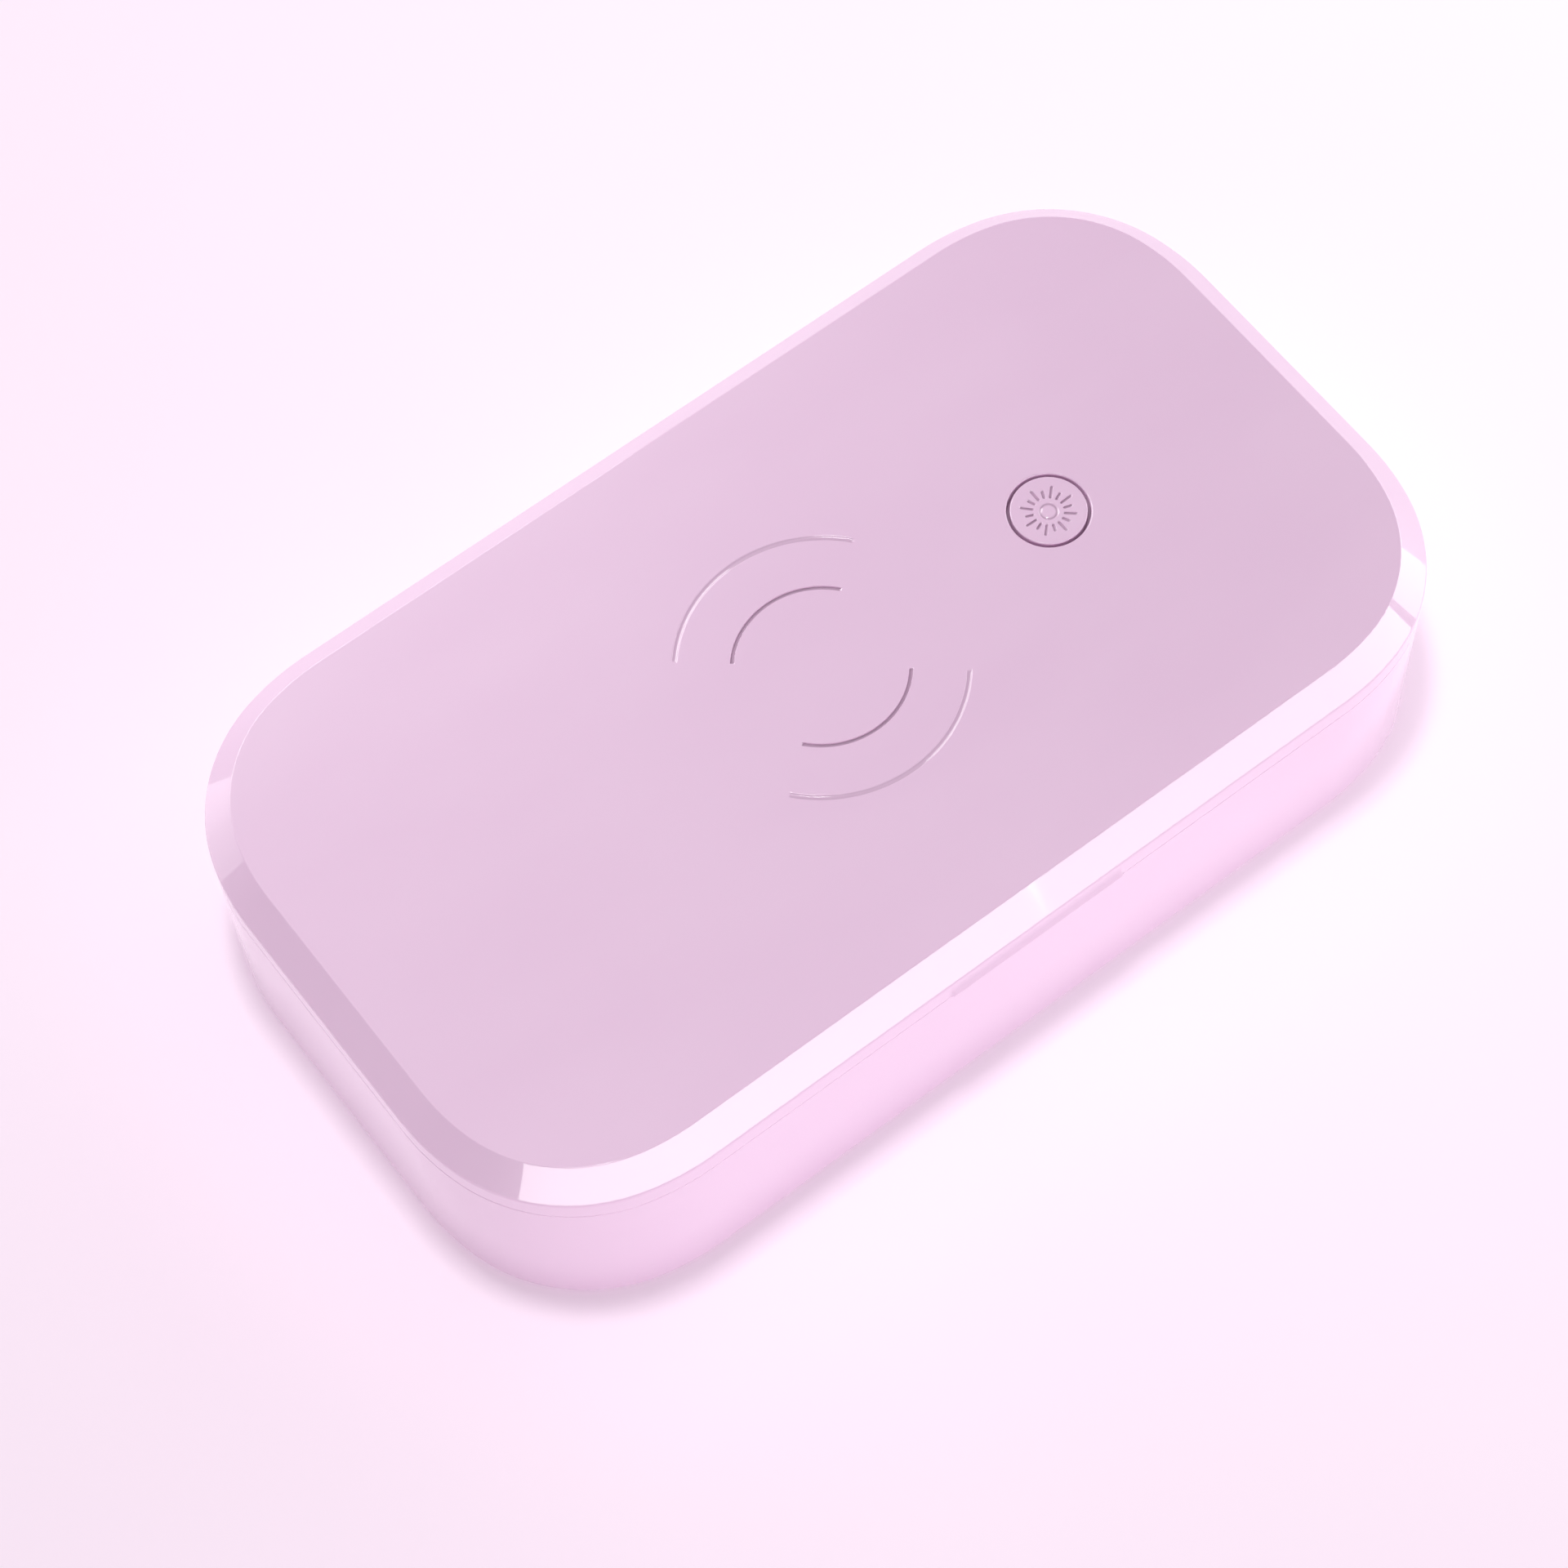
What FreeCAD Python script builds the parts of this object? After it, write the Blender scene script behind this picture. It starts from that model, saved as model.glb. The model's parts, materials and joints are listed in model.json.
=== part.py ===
"""Slim clamshell ultraviolet LED lamp box, modelled as separate pieces, in millimetres.

A flat rounded box. The hinged lid carries the lamps and a charging coil, the base carries
a mirrored chamber, the electronics and a rechargeable pack. +X runs along the length, the
front with its thumb lip faces -Y, +Z is up, and the feet stand on Z = 0.
"""
import FreeCAD, Part
import math
import os

from FreeCAD import Vector

# ---- outer body -------------------------------------------------------------------------
LENGTH = 215.0            # widest outline, along X
WIDTH = 121.5             # widest outline, along Y
HEIGHT = 47.0             # feet to lid plateau
CORNER_FLAT_R = 48.9      # corner radius beside the straight sides
CORNER_TIGHT_R = 33.3     # corner radius across the middle of the corner
CORNER_BLEND_DEG = 15.0   # how far round the corner the flat radius reaches
CHAMFER_DROP = 4.7        # height of the broad bevel round the plateau
CHAMFER_RUN = 5.1         # its reach inwards
RIM_DROP = 0.5            # narrow band under the bevel
RIM_RUN = 0.15
WALL_DRAFT = 0.2          # how much the base narrows towards its foot
FOOT_BEVEL = 1.0          # bevel round the base's lower edge
FOOT_STAND = 0.8          # how far the feet stand proud of the bottom plate
LID_DEPTH = 9.4           # plateau down to the parting line
SEAM_GAP = 0.12

# ---- walls and fits ---------------------------------------------------------------------
LID_WALL = 2.4
LID_SKIN = 2.0            # lid plateau thickness
BASE_WALL = 2.4
FIT_GAP = 0.2             # round a panel dropped into a shell
THREAD_GAP = 0.02         # radial, screw shank in its pilot hole
TOUCH_GAP = 0.1           # between parts that nearly touch when the lid is shut

# ---- lid top marks ----------------------------------------------------------------------
ARC_RADII = (15.8, 26.0)
ARC_SPAN_DEG = 100.0
ARC_WIDTH = 0.65
ARC_DEPTH = 0.3

# ---- thumb lip --------------------------------------------------------------------------
LIP_WIDTH = 38.0
LIP_PROUD = 0.6
LIP_HEIGHT = 1.6
LIP_EDGE = 0.25
LIP_ROOT = 1.0            # how far the lip is rooted in the lid wall
THUMB_GAP = 0.55          # relief in the base under the lip
THUMB_DEPTH = 1.5

# ---- button -----------------------------------------------------------------------------
BUTTON_X = 51.3
BUTTON_R = 7.0
BUTTON_HOLE_GAP = 0.4
BUTTON_FLANGE = 1.6
BUTTON_FLANGE_T = 0.9
BUTTON_TRAVEL = 0.5
BUTTON_DISH = 0.35
STEM_R = 1.5
RAY_COUNT = 16
RAY_INNER_R = 2.7
RAY_LONG_R = 5.4
RAY_SHORT_R = 4.3
RAY_WIDTH = 0.5
RAY_DEPTH = 0.3
SUN_R = 1.8
SUN_DEPTH = 0.25

# ---- hinge ------------------------------------------------------------------------------
HINGE_OUT = 0.3           # axis behind the back wall
HINGE_DROP = 2.2          # axis below the parting line
KNUCKLE_R = 1.95
KNUCKLE_CLEAR = 0.3
KNUCKLE_SIDE_GAP = 0.3
LID_KNUCKLE_W = 10.0
BASE_KNUCKLE_W = 8.0
HINGE_X = 45.0            # each hinge's distance from the middle
PIN_R = 0.8
PIN_RUNNING_GAP = 0.05
PIN_SHORT = 0.3           # pin's ends stop this far inside the outer knuckles
GUSSET_RISE = 4.6

# ---- lid inside -------------------------------------------------------------------------
COIL_R = 24.5
COIL_HOLE_R = 10.0
COIL_T = 1.1
COIL_TURNS = 10
COIL_GROOVE = 0.2
FERRITE_R = 26.0
FERRITE_T = 0.8
LINER_RISE = 0.4          # liner's face above the parting line
LINER_T = 1.6
LINER_SCREW_INSET = (23.5, 30.0)   # from the widest outline, along X and Y
LAMP_BOARD_INSET = (32.5, 28.0)
LAMP_BOARD_T = 1.0
LAMP_BOARD_RISE = 1.4     # board above the liner
LAMP_SCREW_INSET = 5.0    # from the lamp board's edges
LED_COLUMNS = 5
LED_INSET = (11.0, 14.0)  # outer lamps from the board's edges
LED_SIZE = 3.5
LED_BASE_T = 0.8
LED_DOME_T = 0.4
LED_DOME_R = 1.4
LENS_R = 4.0
LENS_GAP = 0.1
BOSS_R = 3.0
POST_R = 2.5
SWITCH_SIZE = 6.0
SWITCH_T = 1.2
PLUNGER_R = 1.6
PLUNGER_GAP = 0.1
PLUNGER_OUT = 0.6
PLUNGER_IN = 0.2

# ---- magnets and lid sensor -------------------------------------------------------------
MAGNET_R = 2.0
MAGNET_T = 2.0
MAGNET_X = 60.0
MAGNET_GAP = 0.4          # magnet to the base's wall
COLLAR_T = 0.6
SENSOR_X = 30.0
SENSOR_BOARD = (12.0, 1.0, 8.0)
SENSOR_CHIP = (4.0, 1.5, 3.0)
SENSOR_DROP = 1.0         # below the base's ledge

# ---- base inside ------------------------------------------------------------------------
LEDGE_REACH = 2.5
LEDGE_T = 1.6
LEDGE_DROP = 2.0          # ledge top below the parting line
PLATE_T = 2.4
PLATE_STOP_REACH = 1.6
PLATE_STOP_T = 1.4
TRAY_FLANGE_T = 1.2
TRAY_WALL = 1.4
TRAY_GAP = 0.2            # tray to the magnets
TRAY_DRAFT = 1.0
TRAY_BEVEL = 3.0
CHAMBER_DEPTH = 22.0
SEAL_EDGE = 1.6           # seal to the base's wall
SEAL_WIDTH = 2.8
FOOT_R = 6.0
FOOT_RECESS = 1.0
FOOT_GAP = 0.1
FOOT_INSET = (29.5, 24.0)  # from the widest outline, along X and Y
CASE_BOSS_R = 4.4
CASE_BOSS_T = 1.4
TRAY_BOSS_R = 3.5

# ---- screws: shank radius, head radius, head height, length under the head ---------------
CASE_SCREW = (1.5, 2.7, 1.7, 5.6)
SMALL_SCREW = (1.0, 1.9, 1.0, 3.6)
BOARD_SCREW = (1.0, 1.9, 1.0, 2.8)
RECESS_WIDTH = 0.5        # cross recess in a screw head, as shares of the head below
RECESS_REACH = 0.7
RECESS_DEPTH = 0.5
HEAD_GAP = 0.1
SCREW_END_GAP = 0.8

# ---- electronics in the base ------------------------------------------------------------
BOARD_SIZE = (62.0, 44.0)
BOARD_T = 1.6
BOARD_POST_T = 1.6
BOARD_RIGHT = 10.0        # right edge of the main board
BOARD_BACK_GAP = 5.0      # main board to the inside of the back wall
BOARD_HOLE_INSET = 4.0
USB_SIZE = (8.94, 3.26)   # width and height of the USB-C shell
USB_DEPTH = 7.6
USB_SHELL = 0.3
USB_MOUTH_DEPTH = 6.2
USB_TONGUE = (6.7, 0.7, 4.5)
USB_RECESS = 0.9          # socket's mouth inside the outer face
USB_GAP = 0.25
BATTERY_SIZE = (60.0, 45.0, 6.0)
BATTERY_LEFT = 14.0
BATTERY_Y = -2.5
BATTERY_EDGE_R = 2.5
PAD_T = 0.6
PAD_INSET = 2.0

# ---- heights and offsets worked out from the above ----------------------------------------
EPS = 0.5                 # overshoot of a cutting tool
SEAM_Z = HEIGHT - LID_DEPTH
BASE_TOP = SEAM_Z - SEAM_GAP / 2
LID_BOTTOM = SEAM_Z + SEAM_GAP / 2
RIM_TOP = HEIGHT - CHAMFER_DROP
RIM_BOTTOM = RIM_TOP - RIM_DROP
SKIN_Z = HEIGHT - LID_SKIN
PLATE_Z = FOOT_STAND
PLATE_TOP = PLATE_Z + PLATE_T
BASE_INNER = WALL_DRAFT + BASE_WALL
LEDGE_TOP = SEAM_Z - LEDGE_DROP
FLANGE_TOP = LEDGE_TOP + TRAY_FLANGE_T
CHAMBER_FLOOR = FLANGE_TOP - CHAMBER_DEPTH
LINER_Z = SEAM_Z + LINER_RISE
LINER_TOP = LINER_Z + LINER_T
LAMP_BOARD_Z = LINER_TOP + LAMP_BOARD_RISE
LAMP_BOARD_TOP = LAMP_BOARD_Z + LAMP_BOARD_T
LINER_SCREW = (LENGTH / 2 - LINER_SCREW_INSET[0], WIDTH / 2 - LINER_SCREW_INSET[1])
LAMP_BOARD = (LENGTH - 2 * LAMP_BOARD_INSET[0], WIDTH - 2 * LAMP_BOARD_INSET[1])
LAMP_BOARD_SCREW = (LAMP_BOARD[0] / 2 - LAMP_SCREW_INSET, LAMP_BOARD[1] / 2 - LAMP_SCREW_INSET)
LED_PITCH = (LAMP_BOARD[0] - 2 * LED_INSET[0]) / (LED_COLUMNS - 1)
LED_ROW_Y = LAMP_BOARD[1] / 2 - LED_INSET[1]
FOOT_XY = (LENGTH / 2 - FOOT_INSET[0], WIDTH / 2 - FOOT_INSET[1])
MAGNET_INSET = MAGNET_R + max(BASE_INNER + MAGNET_GAP, LID_WALL + FIT_GAP + COLLAR_T)
TRAY_INSET = MAGNET_INSET + MAGNET_R + TRAY_GAP + TRAY_WALL   # chamber mouth
SEAL_INSET = BASE_INNER + SEAL_EDGE
HINGE_Y = WIDTH / 2 + HINGE_OUT
HINGE_Z = SEAM_Z - HINGE_DROP
BOARD_Z = PLATE_TOP + BOARD_POST_T
BOARD_TOP = BOARD_Z + BOARD_T
BOARD_CENTRE = (BOARD_RIGHT - BOARD_SIZE[0] / 2,
                WIDTH / 2 - BASE_INNER - BOARD_BACK_GAP - BOARD_SIZE[1] / 2)
# The lip and the hinge reach out by different amounts, so the box is moved to keep the
# origin under the middle of everything.
CENTRE_SHIFT = (LIP_PROUD - HINGE_OUT - KNUCKLE_R) / 2


# ---- shape helpers ------------------------------------------------------------------------
def outline(inset, z):
    """Closed wire of the body's outline, moved inwards by inset, at height z.

    Each corner is three arcs on fixed centres, flat, tight, flat, so that every inset
    copy is parallel to the outermost one.
    """
    blend = math.radians(CORNER_BLEND_DEG)
    sine, cosine = math.sin(blend), math.cos(blend)
    step = CORNER_FLAT_R - CORNER_TIGHT_R
    reach = CORNER_FLAT_R * (1 + sine - cosine) + CORNER_TIGHT_R * (cosine - sine)
    first = (LENGTH / 2 - CORNER_FLAT_R, WIDTH / 2 - reach)
    middle = (first[0] + step * cosine, first[1] + step * sine)
    last = (LENGTH / 2 - reach, WIDTH / 2 - CORNER_FLAT_R)
    arcs = ((first, CORNER_FLAT_R, 0.0, blend),
            (middle, CORNER_TIGHT_R, blend, math.pi / 2 - blend),
            (last, CORNER_FLAT_R, math.pi / 2 - blend, math.pi / 2))
    edges = []
    ends = []
    for sign_x, sign_y in ((1, 1), (-1, 1), (-1, -1), (1, -1)):
        corner = []
        for centre, radius, start, stop in arcs:
            points = []
            for angle in (start, (start + stop) / 2, stop):
                x = sign_x * (centre[0] + (radius - inset) * math.cos(angle))
                y = sign_y * (centre[1] + (radius - inset) * math.sin(angle))
                points.append(Vector(x, y, z))
            corner.append(points)
        if sign_x != sign_y:
            corner = [points[::-1] for points in corner[::-1]]
        edges.append([Part.Arc(*points).toShape() for points in corner])
        ends.append((corner[0][0], corner[-1][2]))
    loop = []
    for index, corner_edges in enumerate(edges):
        loop.extend(corner_edges)
        after = ends[(index + 1) % len(ends)][0]
        loop.append(Part.LineSegment(ends[index][1], after).toShape())
    return Part.Wire(loop)


def slab(inset, bottom, top):
    """Solid with the body's outline and upright sides."""
    return Part.Face(outline(inset, bottom)).extrude(Vector(0, 0, top - bottom))


def taper(inset_bottom, bottom, inset_top, top):
    """Solid between two insets of the outline at two heights."""
    return Part.makeLoft([outline(inset_bottom, bottom), outline(inset_top, top)], True, True)


def ring(inset_outer, inset_inner, bottom, top):
    """Flat ring that follows the body's outline."""
    return slab(inset_outer, bottom, top).cut(slab(inset_inner, bottom - EPS, top + EPS))


def disc(x, y, bottom, top, radius):
    """Upright cylinder."""
    return Part.makeCylinder(radius, top - bottom, Vector(x, y, bottom))


def rod(x_left, x_right, radius):
    """Cylinder on the hinge axis."""
    start = Vector(x_left, HINGE_Y, HINGE_Z)
    return Part.makeCylinder(radius, x_right - x_left, start, Vector(1, 0, 0))


def block(x_range, y_range, z_range):
    """Box between three pairs of limits."""
    corner = Vector(x_range[0], y_range[0], z_range[0])
    sizes = [pair[1] - pair[0] for pair in (x_range, y_range, z_range)]
    return Part.makeBox(sizes[0], sizes[1], sizes[2], corner)


def centred(x, y, bottom, size_x, size_y, height):
    """Box centred on x, y, standing on bottom."""
    return block((x - size_x / 2, x + size_x / 2), (y - size_y / 2, y + size_y / 2),
                 (bottom, bottom + height))


def prism_x(points, x_left, x_right):
    """Polygon of (y, z) points carried along X."""
    corners = [Vector(x_left, y, z) for y, z in points]
    face = Part.Face(Part.makePolygon(corners + corners[:1]))
    return face.extrude(Vector(x_right - x_left, 0, 0))


def fuse_all(shapes):
    """Union of a list of solids, with its seams cleaned."""
    return shapes[0].multiFuse(shapes[1:]).removeSplitter()


def cut_all(body, tools):
    """A body less every tool."""
    return body.cut(tools[0].multiFuse(tools[1:])) if len(tools) > 1 else body.cut(tools[0])


def four(reach):
    """Four places, mirrored in X and Y."""
    return [(sx * reach[0], sy * reach[1]) for sx in (-1, 1) for sy in (-1, 1)]


def screw(x, y, seat, sizes, up=1):
    """Pan-head screw whose head bears on height seat and whose shank goes up or down."""
    shank_r, head_r, head_t, length = sizes
    shank_low, shank_high = sorted((seat, seat + up * length))
    head_low, head_high = sorted((seat, seat - up * head_t))
    shape = disc(x, y, shank_low, shank_high, shank_r - THREAD_GAP)
    shape = shape.fuse(disc(x, y, head_low, head_high, head_r))
    depth = RECESS_DEPTH * head_t
    recess_low, recess_high = sorted((seat - up * head_t, seat - up * (head_t - depth)))
    reach = 2 * RECESS_REACH * head_r
    for size_x, size_y in ((reach, RECESS_WIDTH), (RECESS_WIDTH, reach)):
        shape = shape.cut(centred(x, y, recess_low, size_x, size_y, recess_high - recess_low))
    return shape


def save(name, shapes):
    """Write one node, of one solid or a group of separate ones."""
    shapes = shapes if isinstance(shapes, list) else [shapes]
    group = Part.makeCompound(shapes) if len(shapes) > 1 else shapes[0]
    group = group.copy()
    group.translate(Vector(0, CENTRE_SHIFT, 0))
    group.exportStep("parts/" + name + ".step")


# ---- lid ------------------------------------------------------------------------------------
def arc_groove(radius, middle_deg):
    """Curved groove tool on the plateau, centred on a direction."""
    profile = [Vector(radius + side * ARC_WIDTH / 2, 0, z)
               for side, z in ((-1, HEIGHT - ARC_DEPTH), (1, HEIGHT - ARC_DEPTH),
                               (1, HEIGHT + EPS), (-1, HEIGHT + EPS))]
    face = Part.Face(Part.makePolygon(profile + profile[:1]))
    groove = face.revolve(Vector(0, 0, 0), Vector(0, 0, 1), ARC_SPAN_DEG)
    groove.rotate(Vector(0, 0, 0), Vector(0, 0, 1), middle_deg - ARC_SPAN_DEG / 2)
    return groove


def lid_knuckle(x):
    """Barrel and gusset that hang from the lid's back wall."""
    left, right = x - LID_KNUCKLE_W / 2, x + LID_KNUCKLE_W / 2
    gusset = prism_x([(HINGE_Y - KNUCKLE_R, HINGE_Z), (HINGE_Y + KNUCKLE_R, HINGE_Z),
                      (WIDTH / 2, HINGE_Z + GUSSET_RISE),
                      (WIDTH / 2 - LID_WALL, HINGE_Z + GUSSET_RISE),
                      (WIDTH / 2 - LID_WALL, LID_BOTTOM), (HINGE_Y - KNUCKLE_R, LID_BOTTOM)],
                     left, right)
    return rod(left, right, KNUCKLE_R).fuse(gusset)


def lid_cover():
    """Outer lid shell with its bevel, marks, button hole, lip, bosses and knuckles."""
    outer = fuse_all([slab(0.0, LID_BOTTOM, RIM_BOTTOM),
                      taper(0.0, RIM_BOTTOM, RIM_RUN, RIM_TOP),
                      taper(RIM_RUN, RIM_TOP, CHAMFER_RUN, HEIGHT)])
    slope = (CHAMFER_RUN - RIM_RUN) / CHAMFER_DROP
    skin_inset = CHAMFER_RUN - slope * LID_SKIN + LID_WALL * math.hypot(1.0, slope)
    hollow = slab(LID_WALL, LID_BOTTOM - EPS, RIM_TOP - EPS)
    hollow = hollow.fuse(taper(LID_WALL, RIM_TOP - EPS, skin_inset, SKIN_Z))
    shell = outer.cut(hollow)
    front = -WIDTH / 2
    lip = prism_x([(front + LIP_ROOT, LID_BOTTOM), (front - LIP_PROUD, LID_BOTTOM),
                   (front - LIP_PROUD, LID_BOTTOM + LIP_EDGE),
                   (front, LID_BOTTOM + LIP_HEIGHT), (front + LIP_ROOT, LID_BOTTOM + LIP_HEIGHT)],
                  -LIP_WIDTH / 2, LIP_WIDTH / 2)
    pieces = [shell, lip]
    pieces += [lid_knuckle(side * HINGE_X) for side in (-1, 1)]
    pieces += [disc(x, y, LINER_TOP, SKIN_Z + EPS, BOSS_R) for x, y in four(LINER_SCREW)]
    pieces += [disc(x, y, LAMP_BOARD_TOP, SKIN_Z + EPS, POST_R) for x, y in four(LAMP_BOARD_SCREW)]
    body = fuse_all(pieces)
    tools = [arc_groove(radius, middle) for radius in ARC_RADII for middle in (90.0, -90.0)]
    tools.append(disc(BUTTON_X, 0, SKIN_Z - EPS, HEIGHT + EPS, BUTTON_R + BUTTON_HOLE_GAP))
    tools += [rod(side * HINGE_X - LID_KNUCKLE_W / 2, side * HINGE_X + LID_KNUCKLE_W / 2,
                  PIN_R + PIN_RUNNING_GAP) for side in (-1, 1)]
    liner_end = LINER_Z + SMALL_SCREW[2] + HEAD_GAP + SMALL_SCREW[3] + SCREW_END_GAP
    tools += [disc(x, y, LINER_TOP - EPS, liner_end, SMALL_SCREW[0]) for x, y in four(LINER_SCREW)]
    board_end = LAMP_BOARD_Z + SMALL_SCREW[3] + SCREW_END_GAP
    tools += [disc(x, y, LAMP_BOARD_TOP - EPS, board_end, SMALL_SCREW[0])
              for x, y in four(LAMP_BOARD_SCREW)]
    return cut_all(body, tools)


def led_places():
    """Centres of the lamps, in two rows."""
    middle = (LED_COLUMNS - 1) / 2
    return [((column - middle) * LED_PITCH, row * LED_ROW_Y)
            for row in (-1, 1) for column in range(LED_COLUMNS)]


def magnet_places():
    """Centres of the closing magnets, near the front."""
    return [(side * MAGNET_X, -WIDTH / 2 + MAGNET_INSET) for side in (-1, 1)]


def lid_liner():
    """Mirrored panel that closes the lid's underside, with lamp windows and magnet cups."""
    panel = slab(LID_WALL + FIT_GAP, LINER_Z, LINER_TOP)
    cups = [disc(x, y, LINER_TOP - EPS, LINER_TOP + MAGNET_T, MAGNET_R + COLLAR_T)
            for x, y in magnet_places()]
    body = fuse_all([panel] + cups)
    tools = [disc(x, y, LINER_Z - EPS, LINER_TOP + EPS, LENS_R + LENS_GAP) for x, y in led_places()]
    tools += [disc(x, y, LINER_TOP, LINER_TOP + MAGNET_T + EPS, MAGNET_R + LENS_GAP)
              for x, y in magnet_places()]
    for x, y in four(LINER_SCREW):
        seat = LINER_Z + SMALL_SCREW[2] + HEAD_GAP
        tools.append(disc(x, y, LINER_Z - EPS, seat, SMALL_SCREW[1] + HEAD_GAP))
        tools.append(disc(x, y, LINER_Z, LINER_TOP + EPS, SMALL_SCREW[0] + HEAD_GAP))
    return cut_all(body, tools)


def charging_coil():
    """Flat wound coil under the plateau, its turns parted by grooves on the underside."""
    top = SKIN_Z - THREAD_GAP
    bottom = top - COIL_T
    pitch = (COIL_R - COIL_HOLE_R) / COIL_TURNS
    points = [Vector(COIL_HOLE_R, 0, top), Vector(COIL_HOLE_R, 0, bottom)]
    for turn in range(1, COIL_TURNS):
        radius = COIL_HOLE_R + turn * pitch
        points.append(Vector(radius - COIL_GROOVE / 2, 0, bottom))
        points.append(Vector(radius, 0, bottom + COIL_GROOVE))
        points.append(Vector(radius + COIL_GROOVE / 2, 0, bottom))
    points += [Vector(COIL_R, 0, bottom), Vector(COIL_R, 0, top)]
    face = Part.Face(Part.makePolygon(points + points[:1]))
    return face.revolve(Vector(0, 0, 0), Vector(0, 0, 1), 360)


def coil_ferrite():
    """Thin ferrite shield bonded under the coil."""
    top = SKIN_Z - THREAD_GAP - COIL_T - THREAD_GAP
    return disc(0, 0, top - FERRITE_T, top, FERRITE_R)


def lamp_board():
    """Circuit board that carries the lamps below and the switch above."""
    body = centred(0, 0, LAMP_BOARD_Z, LAMP_BOARD[0], LAMP_BOARD[1], LAMP_BOARD_T)
    tools = [disc(x, y, LAMP_BOARD_Z - EPS, LAMP_BOARD_TOP + EPS, SMALL_SCREW[0] + HEAD_GAP)
             for x, y in four(LAMP_BOARD_SCREW)]
    return cut_all(body, tools)


def uv_leds():
    """Lamp packages under the board, each a ceramic square with a clear dome."""
    lamps = []
    for x, y in led_places():
        square = centred(x, y, LAMP_BOARD_Z - LED_BASE_T, LED_SIZE, LED_SIZE, LED_BASE_T)
        dome = disc(x, y, LAMP_BOARD_Z - LED_BASE_T - LED_DOME_T, LAMP_BOARD_Z - LED_BASE_T,
                    LED_DOME_R)
        lamps.append(square.fuse(dome))
    return lamps


def button_cap():
    """Round button with a dished face and an engraved sun, its flange held under the skin."""
    flange_top = SKIN_Z - TOUCH_GAP
    flange_z = flange_top - BUTTON_FLANGE_T
    stem_z = LAMP_BOARD_TOP + SWITCH_T + PLUNGER_OUT
    body = fuse_all([disc(BUTTON_X, 0, flange_z, HEIGHT, BUTTON_R),
                     disc(BUTTON_X, 0, flange_z, flange_top, BUTTON_R + BUTTON_FLANGE),
                     disc(BUTTON_X, 0, stem_z, flange_z + EPS, STEM_R)])
    face_r = BUTTON_R - 2 * BUTTON_HOLE_GAP
    ball_r = (face_r ** 2 + BUTTON_DISH ** 2) / (2 * BUTTON_DISH)
    ball = Part.makeSphere(ball_r, Vector(BUTTON_X, 0, HEIGHT - BUTTON_DISH + ball_r))
    body = body.cut(ball)
    top = HEIGHT - BUTTON_DISH - RAY_DEPTH
    tools = []
    for index in range(RAY_COUNT):
        reach = RAY_SHORT_R if index % 2 else RAY_LONG_R
        ray = block((RAY_INNER_R, reach), (-RAY_WIDTH / 2, RAY_WIDTH / 2), (top, HEIGHT))
        ray.rotate(Vector(0, 0, 0), Vector(0, 0, 1), index * 360.0 / RAY_COUNT)
        ray.translate(Vector(BUTTON_X, 0, 0))
        tools.append(ray)
    tools.append(disc(BUTTON_X, 0, HEIGHT - BUTTON_DISH - SUN_DEPTH, HEIGHT, SUN_R))
    return cut_all(body, tools)


def tact_switch():
    """Low push switch on the lamp board, bored for its plunger."""
    body = centred(BUTTON_X, 0, LAMP_BOARD_TOP, SWITCH_SIZE, SWITCH_SIZE, SWITCH_T)
    top = LAMP_BOARD_TOP + SWITCH_T
    depth = PLUNGER_IN + BUTTON_TRAVEL + TOUCH_GAP
    return body.cut(disc(BUTTON_X, 0, top - depth, top + EPS, PLUNGER_R + PLUNGER_GAP))


def switch_plunger():
    """Plunger of the push switch, which the button's stem presses."""
    top = LAMP_BOARD_TOP + SWITCH_T
    return disc(BUTTON_X, 0, top - PLUNGER_IN, top + PLUNGER_OUT, PLUNGER_R)


def magnets(bottom):
    """A pair of disc magnets standing on one height."""
    return [disc(x, y, bottom, bottom + MAGNET_T, MAGNET_R) for x, y in magnet_places()]


# ---- base -----------------------------------------------------------------------------------
def base_knuckles(x):
    """Two barrels of one hinge, each rooted in the back wall."""
    inner = LID_KNUCKLE_W / 2 + KNUCKLE_SIDE_GAP
    pieces = []
    for side in (-1, 1):
        left, right = sorted((x + side * inner, x + side * (inner + BASE_KNUCKLE_W)))
        root = block((left, right), (WIDTH / 2 - BASE_WALL, HINGE_Y),
                     (HINGE_Z - KNUCKLE_R, HINGE_Z + KNUCKLE_R))
        pieces += [rod(left, right, KNUCKLE_R), root]
    return pieces


def knuckle_notch(x):
    """Room in the back wall for the lid's barrel and gusset."""
    half = LID_KNUCKLE_W / 2 + KNUCKLE_SIDE_GAP
    radius = KNUCKLE_R + KNUCKLE_CLEAR
    above = block((x - half, x + half), (HINGE_Y - radius, HINGE_Y + 2 * radius),
                  (HINGE_Z, SEAM_Z + EPS))
    return rod(x - half, x + half, radius).fuse(above)


def usb_centre():
    """Middle of the USB-C socket: its x and z."""
    return BOARD_CENTRE[0], BOARD_TOP + USB_SIZE[1] / 2


def stadium_y(width, height, y_start, depth, x, z):
    """Solid with a round-ended slot section, carried along +Y."""
    radius = height / 2
    half = width / 2 - radius
    start = Vector(x, y_start, z)
    body = Part.makeBox(2 * half, depth, height, Vector(x - half, y_start, z - radius))
    for side in (-1, 1):
        end = Part.makeCylinder(radius, depth, start + Vector(side * half, 0, 0), Vector(0, 1, 0))
        body = body.fuse(end)
    return body.removeSplitter()


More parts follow.
